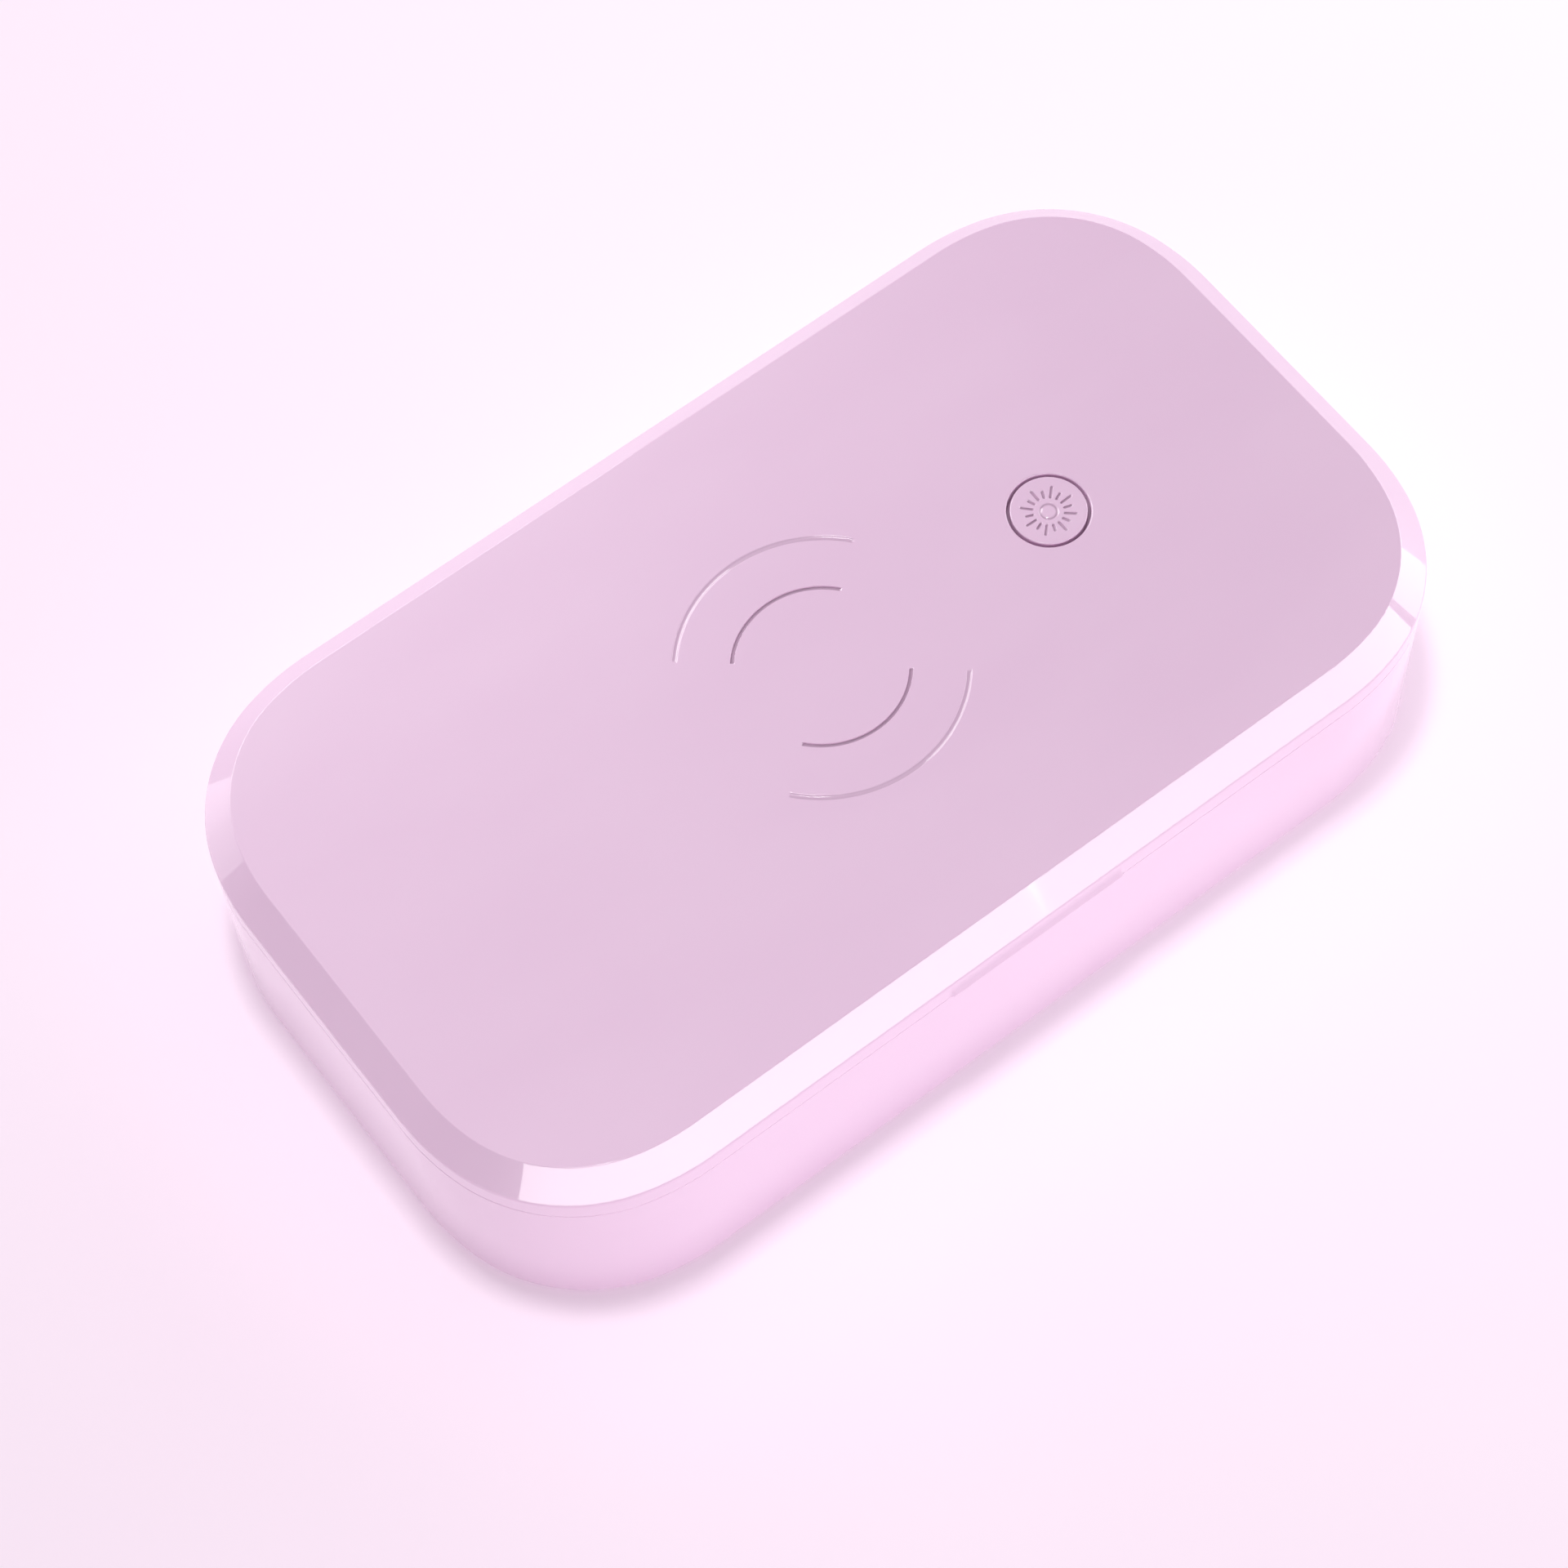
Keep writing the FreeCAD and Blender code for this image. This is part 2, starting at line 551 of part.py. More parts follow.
def base_housing():
    """Wall of the base with its tray ledge, plate stop, back barrels and socket window."""
    body = taper(WALL_DRAFT + FOOT_BEVEL, PLATE_Z, WALL_DRAFT, PLATE_Z + FOOT_BEVEL)
    body = body.fuse(taper(WALL_DRAFT, PLATE_Z + FOOT_BEVEL, 0.0, BASE_TOP)).removeSplitter()
    body = body.cut(slab(BASE_INNER, PLATE_Z - EPS, BASE_TOP + EPS))
    root = BASE_INNER - TOUCH_GAP
    pieces = [body,
              ring(root, BASE_INNER + LEDGE_REACH, LEDGE_TOP - LEDGE_T, LEDGE_TOP),
              ring(root, BASE_INNER + PLATE_STOP_REACH, PLATE_TOP, PLATE_TOP + PLATE_STOP_T)]
    for side in (-1, 1):
        pieces += base_knuckles(side * HINGE_X)
    body = fuse_all(pieces)
    tools = [knuckle_notch(side * HINGE_X) for side in (-1, 1)]
    reach = LID_KNUCKLE_W / 2 + KNUCKLE_SIDE_GAP + BASE_KNUCKLE_W
    tools += [rod(side * HINGE_X - reach, side * HINGE_X + reach, PIN_R + THREAD_GAP)
              for side in (-1, 1)]
    tools.append(block((-LIP_WIDTH / 2, LIP_WIDTH / 2),
                       (-WIDTH / 2 - EPS, -WIDTH / 2 + THUMB_DEPTH),
                       (SEAM_Z - THUMB_GAP, SEAM_Z + EPS)))
    x, z = usb_centre()
    tools.append(stadium_y(USB_SIZE[0] + 2 * USB_GAP, USB_SIZE[1] + 2 * USB_GAP,
                           WIDTH / 2 - BASE_INNER - LEDGE_REACH, 2 * BASE_INNER + LEDGE_REACH, x, z))
    return cut_all(body, tools)


def inner_tray():
    """Mirrored chamber tray, hung by its flange, with screw bosses below."""
    outer_inset = TRAY_INSET + TRAY_DRAFT - TRAY_WALL
    bevel_z = CHAMBER_FLOOR + TRAY_BEVEL
    outside = [slab(BASE_INNER + FIT_GAP, LEDGE_TOP, FLANGE_TOP),
               taper(outer_inset, bevel_z - TRAY_WALL, TRAY_INSET - TRAY_WALL, LEDGE_TOP),
               taper(outer_inset + TRAY_BEVEL, CHAMBER_FLOOR - TRAY_WALL,
                     outer_inset, bevel_z - TRAY_WALL)]
    boss_bottom = PLATE_TOP + CASE_BOSS_T + FIT_GAP
    outside += [disc(x, y, boss_bottom, CHAMBER_FLOOR - TRAY_WALL + EPS, TRAY_BOSS_R)
                for x, y in four(FOOT_XY)]
    inside = taper(TRAY_INSET + TRAY_DRAFT, bevel_z, TRAY_INSET, FLANGE_TOP)
    inside = inside.fuse(taper(TRAY_INSET + TRAY_DRAFT + TRAY_BEVEL, CHAMBER_FLOOR,
                               TRAY_INSET + TRAY_DRAFT, bevel_z))
    seat = PLATE_Z + FOOT_RECESS + CASE_SCREW[2] + HEAD_GAP
    pilot_end = seat + CASE_SCREW[3] + SCREW_END_GAP / 2
    pilots = [disc(x, y, boss_bottom - EPS, pilot_end, CASE_SCREW[0]) for x, y in four(FOOT_XY)]
    return cut_all(fuse_all(outside), [inside] + pilots)


def light_seal():
    """Soft ring on the tray's flange that the lid's liner closes against."""
    return ring(SEAL_INSET, SEAL_INSET + SEAL_WIDTH, FLANGE_TOP, LINER_Z - TOUCH_GAP)


def board_posts():
    """Places of the main board's four screws."""
    reach_x = BOARD_SIZE[0] / 2 - BOARD_HOLE_INSET
    reach_y = BOARD_SIZE[1] / 2 - BOARD_HOLE_INSET
    return [(BOARD_CENTRE[0] + x, BOARD_CENTRE[1] + y) for x, y in four((reach_x, reach_y))]


def bottom_plate():
    """Plate that closes the base from below, with screw bosses, foot seats and board posts."""
    panel = slab(BASE_INNER + FIT_GAP, PLATE_Z, PLATE_TOP)
    bosses = [disc(x, y, PLATE_TOP - EPS, PLATE_TOP + CASE_BOSS_T, CASE_BOSS_R)
              for x, y in four(FOOT_XY)]
    posts = [disc(x, y, PLATE_TOP - EPS, BOARD_Z, POST_R) for x, y in board_posts()]
    body = fuse_all([panel] + bosses + posts)
    tools = []
    for x, y in four(FOOT_XY):
        recess_top = PLATE_Z + FOOT_RECESS
        seat = recess_top + CASE_SCREW[2] + HEAD_GAP
        tools.append(disc(x, y, PLATE_Z - EPS, recess_top, FOOT_R + FOOT_GAP))
        tools.append(disc(x, y, recess_top - EPS, seat, CASE_SCREW[1] + HEAD_GAP))
        tools.append(disc(x, y, seat - EPS, PLATE_TOP + CASE_BOSS_T + EPS,
                          CASE_SCREW[0] + HEAD_GAP))
    tools += [disc(x, y, PLATE_Z + PLATE_T / 2, BOARD_Z + EPS, BOARD_SCREW[0])
              for x, y in board_posts()]
    return cut_all(body, tools)


def rubber_foot(x, y):
    """Round foot, bevelled at its rim, seated in the plate."""
    straight = disc(x, y, FOOT_STAND / 2, PLATE_Z + FOOT_RECESS, FOOT_R)
    bevel = Part.makeCone(FOOT_R - FOOT_STAND / 2, FOOT_R, FOOT_STAND / 2, Vector(x, y, 0))
    return straight.fuse(bevel)


def main_board():
    """Control and charging board behind the chamber floor."""
    body = centred(BOARD_CENTRE[0], BOARD_CENTRE[1], BOARD_Z, BOARD_SIZE[0], BOARD_SIZE[1], BOARD_T)
    tools = [disc(x, y, BOARD_Z - EPS, BOARD_TOP + EPS, BOARD_SCREW[0] + HEAD_GAP)
             for x, y in board_posts()]
    return cut_all(body, tools)


def board_components():
    """Processor, power choke, capacitor and two connectors on the main board."""
    x, y = BOARD_CENTRE
    choke = centred(x + 14, y + 6, BOARD_TOP, 7, 7, 3.2)
    return [centred(x - 6, y - 2, BOARD_TOP, 7, 7, 0.9), choke,
            disc(x - 18, y + 4, BOARD_TOP, BOARD_TOP + 4.2, 2.6),
            centred(x + 22, y - 12, BOARD_TOP, 6, 4.6, 3.4),
            centred(x - 2, y - 16, BOARD_TOP, 12, 4.2, 2.0)]


def usb_socket():
    """USB-C inlet on the main board, open to the back, with its tongue."""
    x, z = usb_centre()
    front = WIDTH / 2 - WALL_DRAFT - USB_RECESS
    start = front - USB_DEPTH
    shell = stadium_y(USB_SIZE[0], USB_SIZE[1], start, USB_DEPTH, x, z)
    mouth = stadium_y(USB_SIZE[0] - 2 * USB_SHELL, USB_SIZE[1] - 2 * USB_SHELL,
                      front - USB_MOUTH_DEPTH, USB_MOUTH_DEPTH + EPS, x, z)
    tongue = block((x - USB_TONGUE[0] / 2, x + USB_TONGUE[0] / 2),
                   (front - USB_MOUTH_DEPTH - EPS, front - USB_MOUTH_DEPTH + USB_TONGUE[2]),
                   (z - USB_TONGUE[1] / 2, z + USB_TONGUE[1] / 2))
    return shell.cut(mouth).fuse(tongue)


def battery_centre():
    """Middle of the battery in plan."""
    return BATTERY_LEFT + BATTERY_SIZE[0] / 2, BATTERY_Y


def battery_pack():
    """Flat rechargeable cell with rounded long edges."""
    x, y = battery_centre()
    body = centred(x, y, PLATE_TOP + PAD_T, *BATTERY_SIZE)
    edges = [edge for edge in body.Edges
             if abs(edge.tangentAt(edge.FirstParameter).y) > 0.9]
    return body.makeFillet(BATTERY_EDGE_R, edges)


def battery_pad():
    """Adhesive foam under the cell."""
    x, y = battery_centre()
    return centred(x, y, PLATE_TOP, BATTERY_SIZE[0] - PAD_INSET, BATTERY_SIZE[1] - PAD_INSET, PAD_T)


def lid_sensor():
    """Small board on the front wall whose chip feels the lid magnet, so an open lid is dark."""
    wall = -WIDTH / 2 + BASE_INNER
    top = LEDGE_TOP - LEDGE_T - SENSOR_DROP
    size_x, size_y, size_z = SENSOR_BOARD
    board = block((SENSOR_X - size_x / 2, SENSOR_X + size_x / 2), (wall, wall + size_y),
                  (top - size_z, top))
    chip_x, chip_y, chip_z = SENSOR_CHIP
    chip = block((SENSOR_X - chip_x / 2, SENSOR_X + chip_x / 2),
                 (wall + size_y, wall + size_y + chip_y), (top - chip_z, top))
    return board.fuse(chip)


def hinge_pin(x):
    """Steel pin through the three barrels of one hinge."""
    half = LID_KNUCKLE_W / 2 + KNUCKLE_SIDE_GAP + BASE_KNUCKLE_W - PIN_SHORT
    return rod(x - half, x + half, PIN_R)


def build_lid():
    """Write every node that moves with the lid, and the button."""
    save("lid_cover", lid_cover())
    save("lid_liner", lid_liner())
    save("charging_coil", charging_coil())
    save("coil_ferrite", coil_ferrite())
    save("lamp_board", lamp_board())
    save("uv_leds", uv_leds())
    save("led_lenses", [disc(x, y, LINER_Z, LINER_TOP, LENS_R) for x, y in led_places()])
    save("tact_switch", tact_switch())
    save("lid_magnets", magnets(LINER_TOP))
    seat = LINER_Z + SMALL_SCREW[2] + HEAD_GAP
    save("liner_screws", [screw(x, y, seat, SMALL_SCREW) for x, y in four(LINER_SCREW)])
    save("lamp_board_screws",
         [screw(x, y, LAMP_BOARD_Z, SMALL_SCREW) for x, y in four(LAMP_BOARD_SCREW)])
    save("uv_button", button_cap())
    save("switch_plunger", switch_plunger())


def build_base():
    """Write every node of the base."""
    save("base_housing", base_housing())
    save("inner_tray", inner_tray())
    save("light_seal", light_seal())
    save("bottom_plate", bottom_plate())
    for name, place in zip(("front_left", "back_left", "front_right", "back_right"), four(FOOT_XY)):
        save("foot_" + name, rubber_foot(*place))
    seat = PLATE_Z + FOOT_RECESS + CASE_SCREW[2] + HEAD_GAP
    save("case_screws", [screw(x, y, seat, CASE_SCREW) for x, y in four(FOOT_XY)])
    save("main_board", main_board())
    save("board_components", board_components())
    save("board_screws", [screw(x, y, BOARD_TOP, BOARD_SCREW, -1) for x, y in board_posts()])
    save("usb_c_socket", usb_socket())
    save("battery_pack", battery_pack())
    save("battery_pad", battery_pad())
    save("lid_sensor", lid_sensor())
    save("base_magnets", magnets(LEDGE_TOP - LEDGE_T - MAGNET_T))
    for name, side in (("left", -1), ("right", 1)):
        save("hinge_pin_" + name, hinge_pin(side * HINGE_X))


os.makedirs("parts", exist_ok=True)
build_lid()
build_base()
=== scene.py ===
import json
import logging
import math
from dataclasses import dataclass, field, replace
from enum import Enum
from typing import Sequence

import bmesh
import bpy
import numpy as np
from mathutils import Matrix, Vector


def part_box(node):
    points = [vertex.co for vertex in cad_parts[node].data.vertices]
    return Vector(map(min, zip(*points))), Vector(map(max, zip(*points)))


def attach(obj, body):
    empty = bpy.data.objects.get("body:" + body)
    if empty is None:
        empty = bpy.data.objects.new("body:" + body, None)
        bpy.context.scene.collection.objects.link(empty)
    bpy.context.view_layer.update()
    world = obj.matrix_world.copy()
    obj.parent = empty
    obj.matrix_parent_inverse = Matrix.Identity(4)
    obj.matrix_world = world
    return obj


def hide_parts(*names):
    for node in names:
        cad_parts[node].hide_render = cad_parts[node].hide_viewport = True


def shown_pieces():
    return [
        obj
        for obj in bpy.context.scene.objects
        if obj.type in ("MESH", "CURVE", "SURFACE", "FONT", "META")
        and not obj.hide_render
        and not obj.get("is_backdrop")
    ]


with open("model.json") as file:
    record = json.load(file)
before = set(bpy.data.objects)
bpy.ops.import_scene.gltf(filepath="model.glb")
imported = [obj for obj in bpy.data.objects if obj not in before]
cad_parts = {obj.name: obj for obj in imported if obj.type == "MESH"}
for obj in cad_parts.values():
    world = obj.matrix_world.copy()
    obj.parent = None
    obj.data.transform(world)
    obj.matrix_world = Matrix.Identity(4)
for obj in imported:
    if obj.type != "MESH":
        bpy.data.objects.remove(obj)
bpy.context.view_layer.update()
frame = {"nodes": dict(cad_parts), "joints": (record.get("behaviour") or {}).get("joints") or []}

MM = 0.001                       # lengths below are in millimetres, meshes in metres
MERGE_DISTANCE = 0.002 * MM
LOG = logging.getLogger("lamp_box")


class Body(Enum):
    """The moving bodies that a piece can ride on."""

    BASE = "base"
    LID = "lid"
    BUTTON = "button"


class Slot(Enum):
    """The record's material slots."""

    SHELL = "pink_shell"
    SHELL_MATT = "pink_shell_matt"
    BUTTON = "pink_button"
    MIRROR = "mirror_liner"
    COIL = "copper_coil"
    FERRITE = "ferrite"
    CIRCUIT = "circuit_board"
    LED = "led_package"
    LENS = "clear_lens"
    BLACK = "black_moulding"
    MAGNET = "nickel_magnet"
    SCREW = "screw_steel"
    SOCKET = "socket_steel"
    BATTERY = "battery_foil"
    FOAM = "foam_tape"
    SEAL = "seal_rubber"
    FOOT = "foot_rubber"
    PIN = "pin_steel"


# ---- colour and nodes --------------------------------------------------------------------
def linear(hex_colour: str) -> tuple[float, float, float, float]:
    """Turn an sRGB hex colour into linear RGBA.

    Args:
        hex_colour: six hex digits with a leading #.

    Returns:
        Linear red, green, blue and an alpha of one.
    """
    channels = [int(hex_colour[i:i + 2], 16) / 255 for i in (1, 3, 5)]
    values = [c / 12.92 if c <= 0.04045 else ((c + 0.055) / 1.055) ** 2.4 for c in channels]
    return (*values, 1.0)


def add_node(tree: bpy.types.NodeTree, kind: str, settings: dict | None = None,
             inputs: dict | None = None) -> bpy.types.Node:
    """Add one node, with its settings, values and links.

    Args:
        tree: the material's node tree.
        kind: the node's type name.
        settings: attribute names and values.
        inputs: socket names or numbers, with a value or an output socket to link.

    Returns:
        The new node.
    """
    node = tree.nodes.new(kind)
    for name, value in (settings or {}).items():
        setattr(node, name, value)
    for name, value in (inputs or {}).items():
        if isinstance(value, bpy.types.NodeSocket):
            tree.links.new(value, node.inputs[name])
        else:
            node.inputs[name].default_value = value
    return node


def math_node(tree: bpy.types.NodeTree, operation: str, *values: object) -> bpy.types.NodeSocket:
    """Add one sum of numbers or sockets.

    Args:
        tree: the material's node tree.
        operation: the sum's name.
        values: its inputs, in order.

    Returns:
        The result's socket.
    """
    return add_node(tree, "ShaderNodeMath", {"operation": operation},
                    dict(enumerate(values))).outputs[0]


def new_material(name: str) -> tuple[bpy.types.Material, bpy.types.NodeTree]:
    """Make an empty node material.

    Args:
        name: the finish's plain name.

    Returns:
        The material and its node tree.
    """
    material = bpy.data.materials.new(name)
    material.use_nodes = True
    material.node_tree.nodes.clear()
    return material, material.node_tree


def object_place(tree: bpy.types.NodeTree) -> bpy.types.NodeSocket:
    """Place of a point in its object's own axes, which are the frame's.

    Args:
        tree: the material's node tree.

    Returns:
        The place's socket, in metres.
    """
    return add_node(tree, "ShaderNodeTexCoord").outputs["Object"]


def noise(tree: bpy.types.NodeTree, grain: float, detail: float = 3.0,
          stretch: tuple[float, float, float] = (1.0, 1.0, 1.0)) -> bpy.types.NodeSocket:
    """Noise on Object coordinates, about half grey on average.

    Args:
        tree: the material's node tree.
        grain: size of one blotch, in millimetres.
        detail: octaves of finer noise.
        stretch: how much finer the pattern is along X, Y and Z.

    Returns:
        The noise's value socket.
    """
    mapping = add_node(tree, "ShaderNodeMapping", None,
                       {"Vector": object_place(tree), "Scale": stretch})
    texture = add_node(tree, "ShaderNodeTexNoise", None,
                       {"Vector": mapping.outputs["Vector"], "Scale": 1.0 / (grain * MM),
                        "Detail": detail})
    return texture.outputs["Fac"]


def mottle(tree: bpy.types.NodeTree, pattern: bpy.types.NodeSocket, dark: str, light: str,
           ends: tuple[float, float] = (0.3, 0.7)) -> bpy.types.NodeSocket:
    """Colour that runs from dark to light over a pattern.

    Args:
        tree: the material's node tree.
        pattern: the value that picks the colour.
        dark: the colour at the pattern's first end.
        light: the colour at its second end.
        ends: the two values of the pattern.

    Returns:
        The colour's socket.
    """
    node = add_node(tree, "ShaderNodeValToRGB", None, {"Fac": pattern})
    for element, position, colour in zip(node.color_ramp.elements, ends, (dark, light)):
        element.position = position
        element.color = linear(colour)
    return node.outputs["Color"]


def spread(tree: bpy.types.NodeTree, value: bpy.types.NodeSocket, low: float, high: float,
           span: tuple[float, float] = (0.3, 0.7)) -> bpy.types.NodeSocket:
    """Map a value, by default a noise between its usual 0.3 and 0.7, onto a range.

    Args:
        tree: the material's node tree.
        value: what to map.
        low: result at the span's start.
        high: result at the span's end.
        span: the value's own range.

    Returns:
        The mapped value socket.
    """
    node = add_node(tree, "ShaderNodeMapRange", None,
                    {"Value": value, "From Min": span[0], "From Max": span[1],
                     "To Min": low, "To Max": high})
    return node.outputs["Result"]


def bump(tree: bpy.types.NodeTree, height: bpy.types.NodeSocket, depth: float,
         strength: float = 1.0) -> bpy.types.NodeSocket:
    """Bump from a height pattern.

    Args:
        tree: the material's node tree.
        height: the pattern, 0 to 1.
        depth: real depth of the relief, in millimetres.
        strength: share of the relief that shows.

    Returns:
        The normal socket.
    """
    node = add_node(tree, "ShaderNodeBump", None,
                    {"Height": height, "Distance": depth * MM, "Strength": strength})
    return node.outputs["Normal"]


def finish_shader(tree: bpy.types.NodeTree, inputs: dict) -> None:
    """Close a material with its Principled shader.

    Args:
        tree: the material's node tree.
        inputs: the shader's socket names with values or links.
    """
    shader = add_node(tree, "ShaderNodeBsdfPrincipled", None, inputs)
    add_node(tree, "ShaderNodeOutputMaterial", None, {"Surface": shader.outputs["BSDF"]})


# ---- finishes ------------------------------------------------------------------------------
@dataclass(frozen=True)
class Engraving:
    """Where a face is engraved: axis, level, reach, dish and the depths over which painted shade
    darkens the groove floors.
    """

    x: float
    y: float
    level: float
    reach: float
    dish: float = 0.0
    dish_radius: float = 1.0
    shade_from: float = 0.05
    shade_full: float = 0.19

    def mask(self, tree: bpy.types.NodeTree) -> bpy.types.NodeSocket:
        """Mask of the painted shade: tell the floor of a groove from the face around it.

        Args:
            tree: the material's nodes.

        Returns:
            One on the grooves' floor, nought on the face.
        """
        place = object_place(tree)
        flat = add_node(tree, "ShaderNodeVectorMath", {"operation": "MULTIPLY"},
                        {0: place, 1: (1.0, 1.0, 0.0)}).outputs[0]
        reach = add_node(tree, "ShaderNodeVectorMath", {"operation": "DISTANCE"},
                         {0: flat, 1: (self.x * MM, self.y * MM, 0.0)}).outputs["Value"]
        square = math_node(tree, "MULTIPLY", reach, reach)
        rise = self.dish * MM / (self.dish_radius * MM) ** 2
        face = math_node(tree, "MULTIPLY_ADD", square, rise, (self.level - self.dish) * MM)
        height = add_node(tree, "ShaderNodeSeparateXYZ", None, {0: place}).outputs["Z"]
        deep = spread(tree, math_node(tree, "SUBTRACT", face, height), 0.0, 1.0,
                      (self.shade_from * MM, self.shade_full * MM))
        return math_node(tree, "MULTIPLY", deep,
                         math_node(tree, "LESS_THAN", reach, self.reach * MM))


@dataclass(frozen=True)
class MouldedAbs:
    """Injection-moulded ABS: even body colour, faint flow marks, fine tool texture."""

    name: str
    light: str
    dark: str
    roughness: float = 0.36
    grain_mm: float = 0.35
    relief_mm: float = 0.004
    coat: float = 1.0
    coat_roughness: float = 0.04
    # painted shade: the colour laid on engraved groove floors in place of the shade that falls in
    # them
    painted_groove_shade: str = "#C5A3BE"
    engraving: Engraving | None = None

    def build(self) -> bpy.types.Material:
        """Return the plastic as a material; the floor of its engraving is darkened with painted
        shade.

        Returns:
            The finished material.
        """
        material, tree = new_material(self.name)
        flow = noise(tree, 26.0, 2.0, (0.45, 1.0, 1.0))      # cloudy flow marks, 2 to 5 cm
        colour = mottle(tree, flow, self.dark, self.light, (0.36, 0.64))
        fine = noise(tree, self.grain_mm, 2.0)               # spark-eroded tool grain
        rough = spread(tree, fine, self.roughness - 0.03, self.roughness + 0.03)
        if self.engraving:
            # painted shade: groove floors are mixed towards the darker colour by their depth
            mix = add_node(tree, "ShaderNodeMix", {"data_type": "RGBA"},
                           {0: self.engraving.mask(tree), 6: colour, 7: linear(self.painted_groove_shade)})
            colour = mix.outputs[2]
        finish_shader(tree, {
            "Base Color": colour, "Roughness": rough, "IOR": 1.53,
            "Normal": bump(tree, fine, self.relief_mm),
            "Coat Weight": self.coat, "Coat Roughness": self.coat_roughness, "Coat IOR": 1.5,
            "Subsurface Weight": 0.06, "Subsurface Radius": (1.0, 0.6, 0.8),
            "Subsurface Scale": 0.6 * MM})
        return material


@dataclass(frozen=True)
class MirrorCoating:
    """Vacuum-metallised plastic: bright aluminium film over a slightly wavy moulding."""

    name: str = "vacuum_metallised_abs"
    light: str = "#F1F1F3"
    dark: str = "#E4E5E9"

    def build(self) -> bpy.types.Material:
        """Return the film as a material.

        Returns:
            The finished material.
        """
        material, tree = new_material(self.name)
        haze = noise(tree, 9.0, 3.0)                          # hazy patches about 1 cm across
        wave = noise(tree, 34.0, 0.0)                         # slow waviness of the moulding
        finish_shader(tree, {
            "Base Color": mottle(tree, haze, self.dark, self.light, (0.35, 0.65)),
            "Metallic": 1.0, "Roughness": spread(tree, haze, 0.13, 0.18),
            "Normal": bump(tree, wave, 0.05, 0.35)})
        return material


@dataclass(frozen=True)
class Silicone:
    """Moulded silicone rubber: soft matt skin with a dusty bloom."""

    name: str
    light: str
    dark: str

    def build(self) -> bpy.types.Material:
        """Return the rubber as a material.

        Returns:
            The finished material.
        """
        material, tree = new_material(self.name)
        bloom = noise(tree, 2.2, 4.0)                         # dust and bloom, 2 mm blotches
        skin = noise(tree, 0.25, 2.0)
        finish_shader(tree, {
            "Base Color": mottle(tree, bloom, self.dark, self.light),
            "Roughness": spread(tree, bloom, 0.5, 0.68), "IOR": 1.41,
            "Normal": bump(tree, skin, 0.01),
            "Sheen Weight": 0.15, "Sheen Roughness": 0.5})
        return material


@dataclass(frozen=True)
class PlatedMetal:
    """Plated or drawn metal with fine lines along one direction."""

    name: str
    light: str
    dark: str
    roughness: float = 0.28
    line_mm: float = 0.2
    stretch: tuple[float, float, float] = (0.05, 1.0, 1.0)

    def build(self) -> bpy.types.Material:
        """Return the metal as a material.

        Returns:
            The finished material.
        """
        material, tree = new_material(self.name)
        lines = noise(tree, self.line_mm, 2.0, self.stretch)  # drawing or grinding lines
        stain = noise(tree, 3.0, 3.0)
        finish_shader(tree, {
            "Base Color": mottle(tree, stain, self.dark, self.light),
            "Metallic": 1.0,
            "Roughness": spread(tree, lines, self.roughness - 0.08, self.roughness + 0.1),
            "Normal": bump(tree, lines, 0.01, 0.5)})
        return material


@dataclass(frozen=True)
class WoundCopper:
    """Enamelled copper winding: rings about the middle of the coil, with painted shade and
    highlight across each turn.
    """

    name: str = "enamelled_copper_winding"
    turn_mm: float = 0.48
    light: str = "#D98A5B"
    dark: str = "#8E4A2A"

    def build(self) -> bpy.types.Material:
        """Return the winding as a material.

        Returns:
            The finished material.
        """
        material, tree = new_material(self.name)
        rings = add_node(tree, "ShaderNodeTexWave",
                         {"wave_type": "RINGS", "rings_direction": "Z"},
                         {"Vector": object_place(tree),
                          "Scale": 0.314 / (self.turn_mm * MM), "Distortion": 0.3})
        # painted shade and highlight: the colour runs from dark to light over each turn of wire
        finish_shader(tree, {
            "Base Color": mottle(tree, rings.outputs["Fac"], self.dark, self.light, (0.2, 0.8)),
            "Metallic": 1.0, "Roughness": spread(tree, noise(tree, 1.5), 0.22, 0.36),
            "Normal": bump(tree, rings.outputs["Fac"], 0.1),
            "Coat Weight": 0.6, "Coat Roughness": 0.1})
        return material


@dataclass(frozen=True)
class SinteredFerrite:
    """Sintered ferrite: dark grey ceramic with a fine crystal speckle."""

    name: str = "sintered_ferrite"

    def build(self) -> bpy.types.Material:
        """Return the ceramic as a material.

        Returns:
            The finished material.
        """
        material, tree = new_material(self.name)
        cells = add_node(tree, "ShaderNodeTexVoronoi", None,
                         {"Vector": object_place(tree), "Scale": 1.0 / (0.5 * MM)})
        finish_shader(tree, {
            "Base Color": mottle(tree, cells.outputs["Distance"], "#2A2A2D", "#45454A", (0.1, 0.8)),
            "Roughness": spread(tree, noise(tree, 0.6), 0.45, 0.62), "IOR": 2.0,
            "Normal": bump(tree, cells.outputs["Distance"], 0.02)})
        return material


@dataclass(frozen=True)
class SolderMask:
    """White solder mask over copper tracks, with the tracks showing as a raised maze."""

    name: str = "white_solder_mask"
    track_mm: float = 1.6

    def build(self) -> bpy.types.Material:
        """Return the board's face as a material.

        Returns:
            The finished material.
        """
        material, tree = new_material(self.name)
        bricks = add_node(tree, "ShaderNodeTexBrick", {"offset": 0.37},
                          {"Vector": object_place(tree), "Scale": 1.0,
                           "Brick Width": 5 * self.track_mm * MM,
                           "Row Height": self.track_mm * MM, "Mortar Size": 0.2 * MM,
                           "Mortar Smooth": 0.3})
        finish_shader(tree, {
            "Base Color": mottle(tree, bricks.outputs["Fac"], "#EDEFEA", "#D5DCD2", (0.0, 1.0)),
            "Roughness": spread(tree, noise(tree, 1.2), 0.28, 0.42), "IOR": 1.55,
            "Normal": bump(tree, bricks.outputs["Fac"], 0.035),
            "Coat Weight": 0.3, "Coat Roughness": 0.15})
        return material


